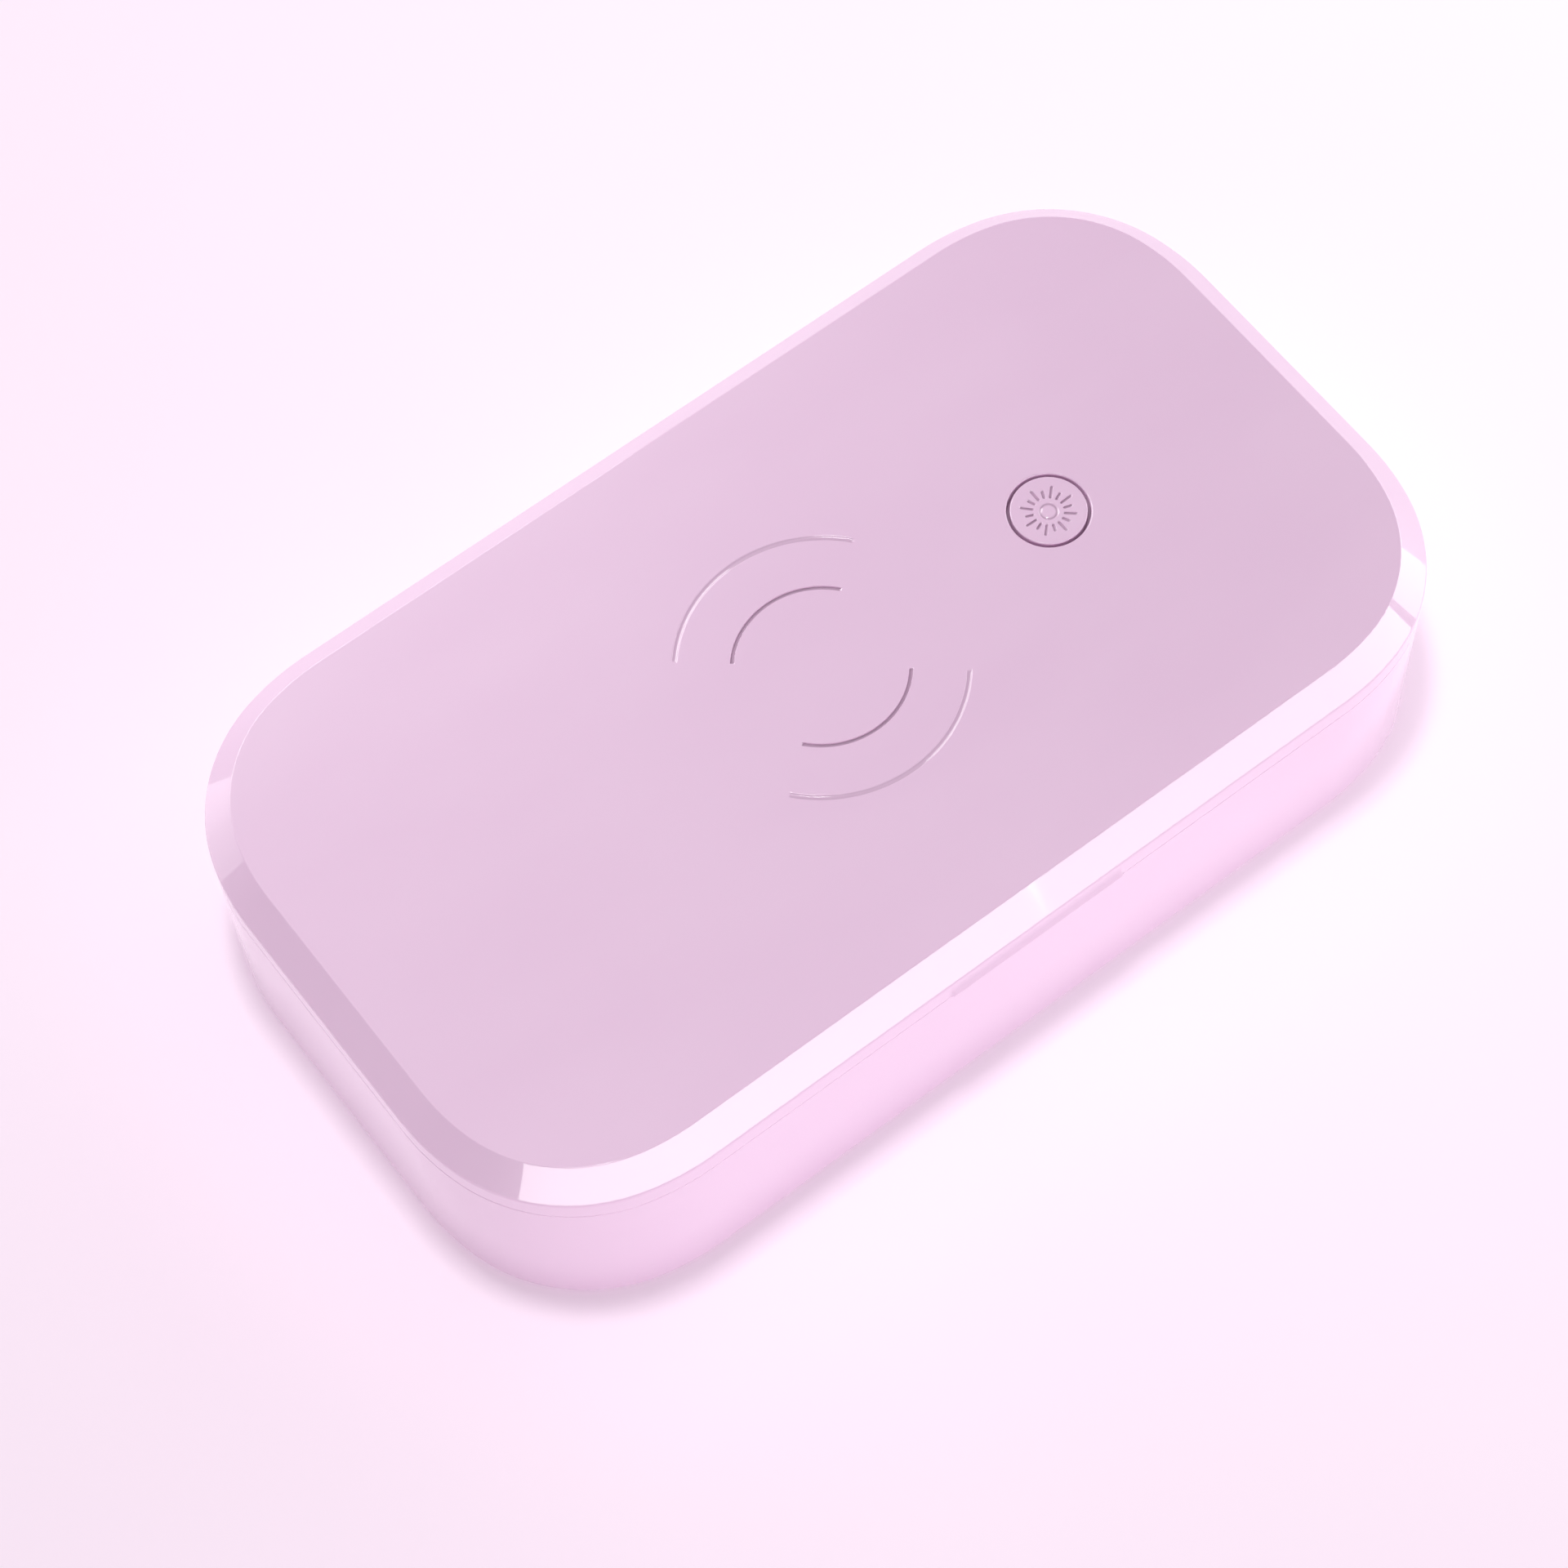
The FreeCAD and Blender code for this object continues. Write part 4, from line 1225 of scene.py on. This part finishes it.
@dataclass
class HingeBarrels:
    """Barrels of the two hinges, each a round knuckle with a root that meets its wall."""

    axis_y: float
    axis_z: float
    radius: float = 1.95
    spacing: float = 45.0
    lid_width: float = 10.0
    base_width: float = 8.0
    gap: float = 0.3
    bevel: float = 0.25
    gusset_rise: float = 4.6
    axis_out: float = 0.3

    def _section(self, root: Sequence[tuple[float, float]], start_deg: float,
                 stop_deg: float) -> np.ndarray:
        """Closed outline across a barrel: an arc, then the root's corners.

        Args:
            root: the root's corners about the axis.
            start_deg: where the arc starts.
            stop_deg: where it ends.

        Returns:
            Points about the axis.
        """
        turn = np.radians(np.linspace(start_deg, stop_deg, 25))
        arc = self.radius * np.stack([np.cos(turn), np.sin(turn)], axis=1)
        return np.vstack([arc, root])

    def _bar(self, parts: MeshParts, section: np.ndarray, left: float, right: float) -> None:
        """Carry a section along X between two ends, with bevelled, closed ends.

        Args:
            parts: the mesh that takes the new grids.
            section: the bar's closed section.
            left: the bar's left end.
            right: the bar's right end.
        """
        shrink = 1 - self.bevel / self.radius
        rows = [(left, 0.0), (left, shrink), (left + self.bevel, 1.0),
                (right - self.bevel, 1.0), (right, shrink), (right, 0.0)]
        grid = [np.column_stack([np.full(len(section), x), self.axis_y + scale * section[:, 0],
                                 self.axis_z + scale * section[:, 1]]) for x, scale in rows]
        parts.add(np.stack(grid))

    def build(self, finishes: FinishLibrary) -> None:
        """Make the lid's knuckles and the base's knuckles.

        Args:
            finishes: where the materials come from.
        """
        back = -self.axis_out - 0.6
        lid_root = [(-self.radius, 2.6), (back, self.gusset_rise),
                    (-self.axis_out + 0.05, self.gusset_rise - 0.1)]
        lid_section = self._section(lid_root, 0, -180)
        base_root = [(-self.radius, self.radius), (-self.radius, -self.radius)]
        base_section = self._section(base_root, -90, 90)
        lid_parts, base_parts = MeshParts(), MeshParts()
        half = self.lid_width / 2
        for side in (-1, 1):
            middle = side * self.spacing
            self._bar(lid_parts, lid_section, middle - half, middle + half)
            for end in (-1, 1):
                inner = middle + end * (half + self.gap)
                left, right = sorted((inner, inner + end * self.base_width))
                self._bar(base_parts, base_section, left, right)
        settle(lid_parts.build("lid_hinge_knuckles"), Body.LID, Slot.SHELL, finishes)
        settle(base_parts.build("base_hinge_knuckles"), Body.BASE, Slot.SHELL, finishes)


@dataclass
class SunButton:
    """Round push button with a dished face and an engraved sun."""

    x: float
    y: float
    top: float
    radius: float = 7.0
    face_radius: float = 6.35
    dish: float = 0.45
    flange_radius: float = 8.6
    flange_drop: float = 2.1
    flange_thickness: float = 0.9
    stem_radius: float = 1.5
    stem_bottom: float = 43.6
    rays: int = 16
    ray_start: float = 2.7
    ray_long: float = 5.2
    ray_short: float = 4.4
    ray_width: float = 0.56
    ray_depth: float = 0.26
    sun_radius: float = 1.75
    sun_depth: float = 0.04
    rim_inset: float = 0.22
    rim_depth: float = 0.16
    rim_spread: float = 0.2
    columns: int = 512

    def _relief(self, radius: np.ndarray, angle: np.ndarray) -> np.ndarray:
        """Depth of the engraved sun at polar points.

        A ray is everything within half its width of a short line; the middle is a shallow
        disc with a deeper rim.

        Args:
            radius: distance from the button's axis.
            angle: direction, in radians.

        Returns:
            Depth below the dished face.
        """
        pitch = 2 * math.pi / self.rays
        index = np.round(angle / pitch)
        off = angle - index * pitch
        stop = np.where(index.astype(int) % 2 == 0, self.ray_long, self.ray_short)
        along, across = radius * np.cos(off), radius * np.sin(off)
        half = self.ray_width / 2
        past = along - np.clip(along, self.ray_start + half, stop - half)
        away = np.hypot(past, across)
        ray = self.ray_depth * (1 - smooth_step(away, half - 0.1, half + 0.05))
        disc = self.sun_depth * (1 - smooth_step(radius, self.sun_radius - 0.12,
                                                 self.sun_radius + 0.05))
        past_rim = (radius - self.sun_radius + self.rim_inset) / self.rim_spread
        rim = self.rim_depth * np.exp(-past_rim ** 2)
        return ray + disc + rim

    def build(self, finishes: FinishLibrary) -> None:
        """Make the button: relief face, rim, side, flange and stem as one grid.

        Args:
            finishes: where the materials come from.
        """
        angle = np.linspace(0, 2 * math.pi, self.columns, endpoint=False)
        face = np.concatenate([[0.0, 0.6, 1.1], np.arange(1.4, self.face_radius, 0.11)])
        dish = self.dish * (1 - (face / self.face_radius) ** 2)
        level = (self.top - dish[:, None]
                 - self._relief(face[:, None], np.broadcast_to(angle, (len(face), self.columns))))
        plan_r = np.broadcast_to(face[:, None], level.shape)
        flange_top = self.top - self.flange_drop
        side = rounded_profile([
            (self.face_radius, self.top, 0), (self.radius, self.top, 0.22),
            (self.radius, flange_top, 0.1), (self.flange_radius, flange_top, 0.15),
            (self.flange_radius, flange_top - self.flange_thickness, 0.15),
            (self.stem_radius, flange_top - self.flange_thickness, 0.2),
            (self.stem_radius, self.stem_bottom, 0.2), (0.0, self.stem_bottom, 0)])
        wide = (len(side), self.columns)
        radius = np.vstack([plan_r, np.broadcast_to(side[:, :1], wide)])
        height = np.vstack([level, np.broadcast_to(side[:, 1:], wide)])
        grid = np.stack([self.x + radius * np.cos(angle), self.y + radius * np.sin(angle),
                         height], axis=-1)
        parts = MeshParts()
        parts.add(grid)
        settle(parts.build("sun_button", 60.0), Body.BUTTON, Slot.BUTTON, finishes, ["uv_button"])


# ---- base ----------------------------------------------------------------------------------------
@dataclass
class BaseShell:
    """Pink base wall with its inner ledges, the thumb relief, hinge notches and socket window."""

    outline: BodyOutline
    barrels: HingeBarrels
    top: float
    bottom: float
    ledge_top: float
    socket: tuple[float, float, float]
    draft: float = 0.2
    foot_bevel: float = 1.0
    wall: float = 2.6
    ledge_reach: float = 2.5
    ledge_drop: float = 1.6
    stop_reach: float = 1.6
    stop_bottom: float = 3.2
    stop_top: float = 4.6
    relief_drop: float = 0.5
    relief_depth: float = 1.5
    window: tuple[float, float] = (9.44, 3.76)

    def _profile(self) -> np.ndarray:
        """Closed section of the wall: outside, underside, inside with its two ledges, top.

        Returns:
            Inset and height of each row.
        """
        ledge = self.wall + self.ledge_reach
        stop = self.wall + self.stop_reach
        ledge_bottom = self.ledge_top - self.ledge_drop
        return rounded_profile([
            (0.0, self.top, 0.2),
            (self.draft, self.bottom + self.foot_bevel, 0.4),
            (self.draft + self.foot_bevel, self.bottom, 0.2),
            (self.wall, self.bottom, 0.05),
            (self.wall, self.stop_bottom, 0.05), (stop, self.stop_bottom, 0.1),
            (stop, self.stop_top, 0.1), (self.wall, self.stop_top, 0.1),
            (self.wall, ledge_bottom, 0.1), (ledge, ledge_bottom, 0.15),
            (ledge, self.ledge_top, 0.15), (self.wall, self.ledge_top, 0.1),
            (self.wall, self.top, 0.2), (1.6, self.top, 0.0)], closed=True)

    def _press_relief(self, grid: np.ndarray) -> None:
        """Lower the wall's top edge under the thumb lip, in place.

        The drop is full within the relief's depth of the front face and eases out at both
        ends of the lip.

        Args:
            grid: the wall's points.
        """
        outline = self.outline
        x, y, z = grid[..., 0], grid[..., 1], grid[..., 2]
        depth = y - outline.middle_y + outline.width / 2
        along = 1 - smooth_step(np.abs(x), outline.lip_half - outline.lip_end, outline.lip_half)
        inward = 1 - smooth_step(depth, self.relief_depth, self.relief_depth + 0.1)
        near_top = smooth_step(z, self.top - 1.2, self.top - 0.5) * (depth < 2.9)
        grid[..., 2] = z - self.relief_drop * along * inward * near_top

    def _cutter(self) -> bpy.types.Object:
        """Solids that leave room for the lid's knuckles and for the plug.

        Returns:
            All the cutting shapes as one object.
        """
        parts = MeshParts()
        barrels = self.barrels
        half = barrels.lid_width / 2 + barrels.gap
        radius = barrels.radius + barrels.gap
        turn = np.radians(np.linspace(-180, 0, 17))
        arc = radius * np.stack([np.cos(turn), np.sin(turn)], axis=1)
        section = np.vstack([arc, [(radius, 5.0), (-radius, 5.0)]])
        for side in (-1, 1):
            middle = side * barrels.spacing
            rows = [(middle - half, 0.0), (middle - half, 1.0), (middle + half, 1.0),
                    (middle + half, 0.0)]
            parts.add(np.stack([np.column_stack([
                np.full(len(section), x), barrels.axis_y + scale * section[:, 0],
                barrels.axis_z + scale * section[:, 1]]) for x, scale in rows]))
        x, y, z = self.socket
        width, height = self.window
        turn = np.radians(np.linspace(0, 360, 48, endpoint=False))
        slot_x = (width - height) / 2 * np.sign(np.cos(turn)) + height / 2 * np.cos(turn)
        slot_z = height / 2 * np.sin(turn)
        rows = [(y - 6.0, 0.0), (y - 6.0, 1.0), (y + 6.0, 1.0), (y + 6.0, 0.0)]
        parts.add(np.stack([np.column_stack([x + scale * slot_x, np.full(len(turn), place),
                                             z + scale * slot_z]) for place, scale in rows]))
        return parts.build("wall_cutter")

    def build(self, finishes: FinishLibrary) -> None:
        """Make the wall, cut it and dress it.

        Args:
            finishes: where the materials come from.
        """
        parts = MeshParts()
        wall = self.outline.carry(self._profile())
        self._press_relief(wall)
        parts.add(wall, wrap_rows=True)
        piece = parts.build("base_wall", 50.0)
        carve(piece, self._cutter())
        shade(piece.data, 50.0)
        settle(piece, Body.BASE, Slot.SHELL, finishes, ["base_housing"])


def carve(piece: bpy.types.Object, cutter: bpy.types.Object) -> None:
    """Subtract one object from another for good, and remove the cutter.

    Args:
        piece: the object that keeps its name.
        cutter: the closed solid to subtract.
    """
    modifier = piece.modifiers.new("cut", "BOOLEAN")
    modifier.operation = "DIFFERENCE"
    modifier.solver = "EXACT"
    modifier.object = cutter
    graph = bpy.context.evaluated_depsgraph_get()
    mesh = bpy.data.meshes.new_from_object(piece.evaluated_get(graph))
    piece.modifiers.clear()
    piece.data = mesh
    bpy.data.objects.remove(cutter)


@dataclass
class ChamberTray:
    """Mirrored tray: flange, steep wall and a rounded floor, thin all over."""

    outline: BodyOutline
    flange_top: float
    flange: float = 1.2
    depth: float = 22.0
    edge: float = 2.8
    mouth: float = 8.8
    draft: float = 1.0
    bevel: float = 3.0
    wall: float = 1.4

    def build(self, finishes: FinishLibrary) -> None:
        """Make the tray as one closed sheet and dress it.

        Args:
            finishes: where the materials come from.
        """
        flange_bottom = self.flange_top - self.flange
        floor = self.flange_top - self.depth
        underside = floor - self.wall
        foot = self.mouth + self.draft
        outer_foot = foot - self.wall
        flat = foot + self.bevel + 3.0
        sheet = rounded_profile([
            (flat, floor, 0), (foot + self.bevel, floor, 2.2),
            (foot, floor + self.bevel, 2.2), (self.mouth, self.flange_top, 0.7),
            (self.edge, self.flange_top, 0.2), (self.edge, flange_bottom, 0.2),
            (self.mouth - self.wall, flange_bottom, 0.4),
            (outer_foot, floor + self.bevel - self.wall, 1.5),
            (outer_foot + self.bevel, underside, 1.5), (flat, underside, 0)])
        parts = MeshParts()
        parts.add(self.outline.carry(sheet))
        for height in (floor, underside):
            parts.add(self.outline.fill(flat, height))
        settle(parts.build("chamber_tray", 50.0), Body.BASE, Slot.MIRROR, finishes, ["inner_tray"])


@dataclass
class LightSeal:
    """Soft ring with two ribs that the lid closes against."""

    outline: BodyOutline
    bottom: float
    top: float
    edge: float = 4.2
    width: float = 2.8

    def build(self, finishes: FinishLibrary) -> None:
        """Make the ring and dress it.

        Args:
            finishes: where the materials come from.
        """
        inner = self.edge + self.width
        valley = self.top - 0.45
        third = self.width / 3
        profile = rounded_profile([
            (self.edge, self.bottom, 0.1), (self.edge, self.top, 0.35),
            (self.edge + third, self.top, 0.35), (self.edge + 1.35 * third, valley, 0.2),
            (self.edge + 1.65 * third, valley, 0.2), (inner - third, self.top, 0.35),
            (inner, self.top, 0.35), (inner, self.bottom, 0.1)], closed=True)
        parts = MeshParts()
        parts.add(self.outline.carry(profile), wrap_rows=True)
        settle(parts.build("lid_light_seal", 60.0), Body.BASE, Slot.SEAL, finishes, ["light_seal"])


@dataclass
class RoundFoot:
    """One soft round foot with a rounded rim and a shallow cup underneath."""

    node: str

    def build(self, finishes: FinishLibrary) -> None:
        """Make the foot where its node stands.

        Args:
            finishes: where the materials come from.
        """
        low, high = (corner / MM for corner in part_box(self.node))
        radius = (high.x - low.x) / 2
        profile = rounded_profile([
            (0.0, low.z + 0.15, 0), (radius - 2.2, low.z + 0.15, 0.2),
            (radius - 1.8, low.z, 0.2), (radius, low.z, 0.5), (radius, high.z, 0.2),
            (0.0, high.z, 0)])
        parts = MeshParts()
        parts.add(lathe(profile, ((low.x + high.x) / 2, (low.y + high.y) / 2), 64))
        settle(parts.build(self.node.replace("foot", "soft_foot"), 50.0), Body.BASE, Slot.FOOT,
               finishes, [self.node])


@dataclass
class LampLenses:
    """Clear round lenses in the liner, one under each lamp."""

    bottom: float
    top: float
    middle_y: float
    pitch: float
    row_y: float
    radius: float = 4.0
    columns: int = 5

    def build(self, finishes: FinishLibrary) -> None:
        """Make all the lenses as one piece: a bevelled disc with a hollow dimple above.

        Args:
            finishes: where the materials come from.
        """
        profile = rounded_profile([
            (0.0, self.bottom + 0.02, 0), (self.radius, self.bottom + 0.02, 0.3),
            (self.radius, self.top, 0.15), (self.radius - 1.1, self.top, 0.2),
            (self.radius - 2.2, self.top - 0.6, 0.3), (0.0, self.top - 0.6, 0)], steps=3)
        parts = MeshParts()
        for row in (-1, 1):
            for column in range(self.columns):
                x = (column - (self.columns - 1) / 2) * self.pitch
                parts.add(lathe(profile, (x, self.middle_y + row * self.row_y), 40))
        settle(parts.build("lamp_lenses", 50.0), Body.LID, Slot.LENS, finishes, ["led_lenses"])


class CadPieces:
    """The CAD nodes that stay as they are and only get their finish."""

    KEPT = {
        "lid_liner": Slot.MIRROR, "charging_coil": Slot.COIL, "coil_ferrite": Slot.FERRITE,
        "lamp_board": Slot.CIRCUIT, "uv_leds": Slot.LED, "tact_switch": Slot.BLACK,
        "lid_magnets": Slot.MAGNET, "liner_screws": Slot.SCREW, "lamp_board_screws": Slot.SCREW,
        "switch_plunger": Slot.BLACK, "bottom_plate": Slot.SHELL_MATT, "case_screws": Slot.SCREW,
        "main_board": Slot.CIRCUIT, "board_components": Slot.BLACK, "board_screws": Slot.SCREW,
        "usb_c_socket": Slot.SOCKET, "battery_pack": Slot.BATTERY, "battery_pad": Slot.FOAM,
        "lid_sensor": Slot.CIRCUIT, "base_magnets": Slot.MAGNET, "hinge_pin_left": Slot.PIN,
        "hinge_pin_right": Slot.PIN,
    }

    def dress(self, finishes: FinishLibrary) -> None:
        """Assign each kept node its finish.

        Args:
            finishes: where the materials come from.
        """
        for node, slot in self.KEPT.items():
            piece = frame["nodes"][node]
            if not piece.material_slots:
                piece.data.materials.append(None)
            for material_slot in piece.material_slots:
                material_slot.material = finishes.get(slot)
            LOG.info("%s: kept, %s", node, slot.value)


# ---- studio --------------------------------------------------------------------------------------
@dataclass(frozen=True)
class Panel:
    """One rectangular studio light: its middle line, its width and its radiance."""

    name: str
    start: tuple[float, float, float]
    stop: tuple[float, float, float]
    width: float
    radiance: float
    colour: str = "#FFFFFF"
    casts_shadow: bool = True

    def build(self, lit: bpy.types.Collection) -> None:
        """Place the panel with its face towards the object, out of the camera's sight.

        The power is the radiance times the area times pi.

        Args:
            lit: the only things that the panel lights, as if flagged off the rest.
        """
        a, b = Vector(self.start), Vector(self.stop)
        along = (b - a).normalized()
        back = (a + b) / 2
        back = (back - along * back.dot(along)).normalized()
        data = bpy.data.lights.new(self.name, "AREA")
        data.shape = "RECTANGLE"
        data.size = (b - a).length * MM
        data.size_y = self.width * MM
        data.energy = self.radiance * data.size * data.size_y * math.pi
        data.color = linear(self.colour)[:3]
        data.use_shadow = self.casts_shadow
        light = bpy.data.objects.new(self.name, data)
        turn = Matrix((along, back.cross(along), back)).transposed()
        light.matrix_world = Matrix.Translation((a + b) / 2 * MM) @ turn.to_4x4()
        light.visible_camera = False
        light.light_linking.receiver_collection = lit
        bpy.context.scene.collection.objects.link(light)


# Where each light falls: on all of it, on the pieces alone or on the floor alone.
EVERYWHERE = (
    Panel("key_overhead", (-120.0, 45.0, 1300.0), (20.0, 45.0, 1300.0), 140.0, 35.0),
)
ON_THE_PIECES = (
    Panel("strip_front_left", (-455.0, -223.0, 194.0), (124.0, -438.0, 194.0), 62.0, 6.5),
    Panel("strip_front_right", (124.0, -438.0, 196.0), (415.0, -283.0, 112.0), 54.0, 5.8),
    Panel("strip_back_left", (-246.0, 143.0, 40.0), (-158.0, 217.0, 30.0), 60.0, 1.35),
    Panel("side_right", (500.0, -300.0, 120.0), (500.0, 100.0, 120.0), 200.0, 4.0),
    Panel("side_back", (-260.0, 420.0, 380.0), (140.0, 420.0, 380.0), 260.0, 6.2),
)
ON_THE_FLOOR = (
    Panel("floor_key", (-120.0, 45.0, 1300.0), (20.0, 45.0, 1300.0), 140.0, 50.0, "#FFF4FD"),
    Panel("floor_wash", (-700.0, 0.0, 1400.0), (700.0, 0.0, 1400.0), 1400.0, 1.0, "#FFF0FC",
          casts_shadow=False),
    Panel("floor_right", (900.0, -300.0, 500.0), (900.0, 900.0, 500.0), 700.0, 2.6,
          casts_shadow=False),
)


@dataclass
class Studio:
    """Plain pale floor, soft light from above and low strips that edge the bevel with light."""

    aim_z: float
    middle_y: float
    aim_offset: tuple[float, float] = (-19.36, -14.46)
    azimuth_deg: float = -34.26
    elevation_deg: float = 62.99
    roll_deg: float = -3.47
    distance: float = 736.4
    focal_mm: float = 97.47
    sensor_mm: float = 36.0
    floor_half: float = 3000.0

    def _floor(self) -> None:
        """Make the floor and mark it as staging."""
        half = self.floor_half
        parts = MeshParts()
        side = np.array([-half, half])
        x, y = np.meshgrid(side, side, indexing="ij")
        parts.add(np.stack([x, y, np.zeros_like(x)], axis=-1), wrap_columns=False)
        floor = parts.build("studio_floor")
        floor.data.materials.append(StudioPaper().build())
        if floor.data.polygons[0].normal.z < 0:
            floor.data.flip_normals()
        floor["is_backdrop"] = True

    def _world(self) -> None:
        """Give the surroundings an even pale glow."""
        world = bpy.data.worlds.new("studio")
        world.use_nodes = True
        background = world.node_tree.nodes["Background"]
        background.inputs["Color"].default_value = linear("#FFF4FD")
        background.inputs["Strength"].default_value = 0.25
        bpy.context.scene.world = world

    def _camera(self) -> None:
        """Aim the camera from its azimuth and elevation, with its small roll."""
        azimuth, elevation, roll = (math.radians(v) for v in
                                    (self.azimuth_deg, self.elevation_deg, self.roll_deg))
        back = Vector((math.sin(azimuth) * math.cos(elevation),
                       -math.cos(azimuth) * math.cos(elevation), math.sin(elevation)))
        right = Vector((math.cos(azimuth), math.sin(azimuth), 0))
        up = back.cross(right)
        rolled_right = right * math.cos(roll) + up * math.sin(roll)
        rolled_up = up * math.cos(roll) - right * math.sin(roll)
        data = bpy.data.cameras.new("camera")
        data.lens = self.focal_mm
        data.sensor_width = self.sensor_mm
        data.clip_start = 10 * MM
        camera = bpy.data.objects.new("camera", data)
        turn = Matrix((rolled_right, rolled_up, back)).transposed().to_4x4()
        aim = Vector((self.aim_offset[0], self.aim_offset[1] + self.middle_y, self.aim_z))
        place = (aim + back * self.distance) * MM
        camera.matrix_world = Matrix.Translation(place) @ turn
        bpy.context.scene.collection.objects.link(camera)
        bpy.context.scene.camera = camera

    def build(self) -> None:
        """Set up floor, lights, world and camera."""
        self._floor()
        self._world()
        pieces, floor, everything = (bpy.data.collections.new(name) for name in
                                     ("piece_receivers", "floor_receivers", "all_receivers"))
        floor.objects.link(bpy.data.objects["studio_floor"])
        everything.objects.link(bpy.data.objects["studio_floor"])
        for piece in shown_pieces():
            pieces.objects.link(piece)
            everything.objects.link(piece)
        for panel in EVERYWHERE:
            panel.build(everything)
        for panel in ON_THE_PIECES:
            panel.build(pieces)
        for panel in ON_THE_FLOOR:
            panel.build(floor)
        self._camera()
        scene = bpy.context.scene
        scene.view_settings.view_transform = "Standard"
        scene.view_settings.look = "None"


# ---- assembly ------------------------------------------------------------------------------------
def main() -> None:
    """Build every sub-assembly in order, from the places that the CAD frame gives."""
    logging.basicConfig(level=logging.INFO, format="%(name)s %(message)s")
    lid_low, lid_high = (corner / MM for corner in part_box("lid_cover"))
    base_low, base_high = (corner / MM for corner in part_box("base_housing"))
    tray_low, tray_high = (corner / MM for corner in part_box("inner_tray"))
    seal_low, seal_high = (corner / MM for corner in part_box("light_seal"))
    liner_low, _ = (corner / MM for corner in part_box("lid_liner"))
    lens_low, lens_high = (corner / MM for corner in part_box("led_lenses"))
    button_low, button_high = (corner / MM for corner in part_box("uv_button"))
    socket_low, socket_high = (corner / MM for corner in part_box("usb_c_socket"))
    hinge = next(joint for joint in frame["joints"] if joint["name"] == "lid_hinge")
    middle_y = (tray_low.y + tray_high.y) / 2
    button_x = (button_low.x + button_high.x) / 2
    # The engravings paint shade into the floors of the lid's mark and the button's sun.
    finishes = FinishLibrary({
        Slot.SHELL: Engraving(0.0, middle_y, lid_high.z, 30.0),
        Slot.BUTTON: Engraving(button_x, middle_y, button_high.z, 5.8, SunButton.dish,
                               SunButton.face_radius)})

    outline = BodyOutline(length=base_high.x - base_low.x, middle_y=middle_y, button_x=button_x)
    seam_gap = 0.08
    seam = base_high.z + seam_gap / 2
    LidShell(outline, top=lid_high.z, bottom=seam + seam_gap / 2).build(finishes)
    barrels = HingeBarrels(axis_y=hinge["pos_m"][1] / MM, axis_z=hinge["pos_m"][2] / MM)
    barrels.build(finishes)
    SunButton(button_x, middle_y, button_high.z, stem_bottom=button_low.z).build(finishes)
    lens_radius = 4.0
    pitch = ((lens_high.x - lens_low.x) / 2 - lens_radius) / 2
    row_y = (lens_high.y - lens_low.y) / 2 - lens_radius
    LampLenses(lens_low.z, lens_high.z, middle_y, pitch, row_y, lens_radius).build(finishes)
    ledge_top = tray_high.z - ChamberTray.flange
    socket = ((socket_low.x + socket_high.x) / 2, socket_high.y, (socket_low.z + socket_high.z) / 2)
    BaseShell(outline, barrels, base_high.z, base_low.z, ledge_top, socket).build(finishes)
    ChamberTray(outline, tray_high.z).build(finishes)
    LightSeal(outline, seal_low.z, seal_high.z).build(finishes)
    for name in ("front_left", "back_left", "front_right", "back_right"):
        RoundFoot("foot_" + name).build(finishes)
    CadPieces().dress(finishes)
    Studio(aim_z=lid_high.z, middle_y=middle_y).build()


if __name__ == "__main__":
    main()
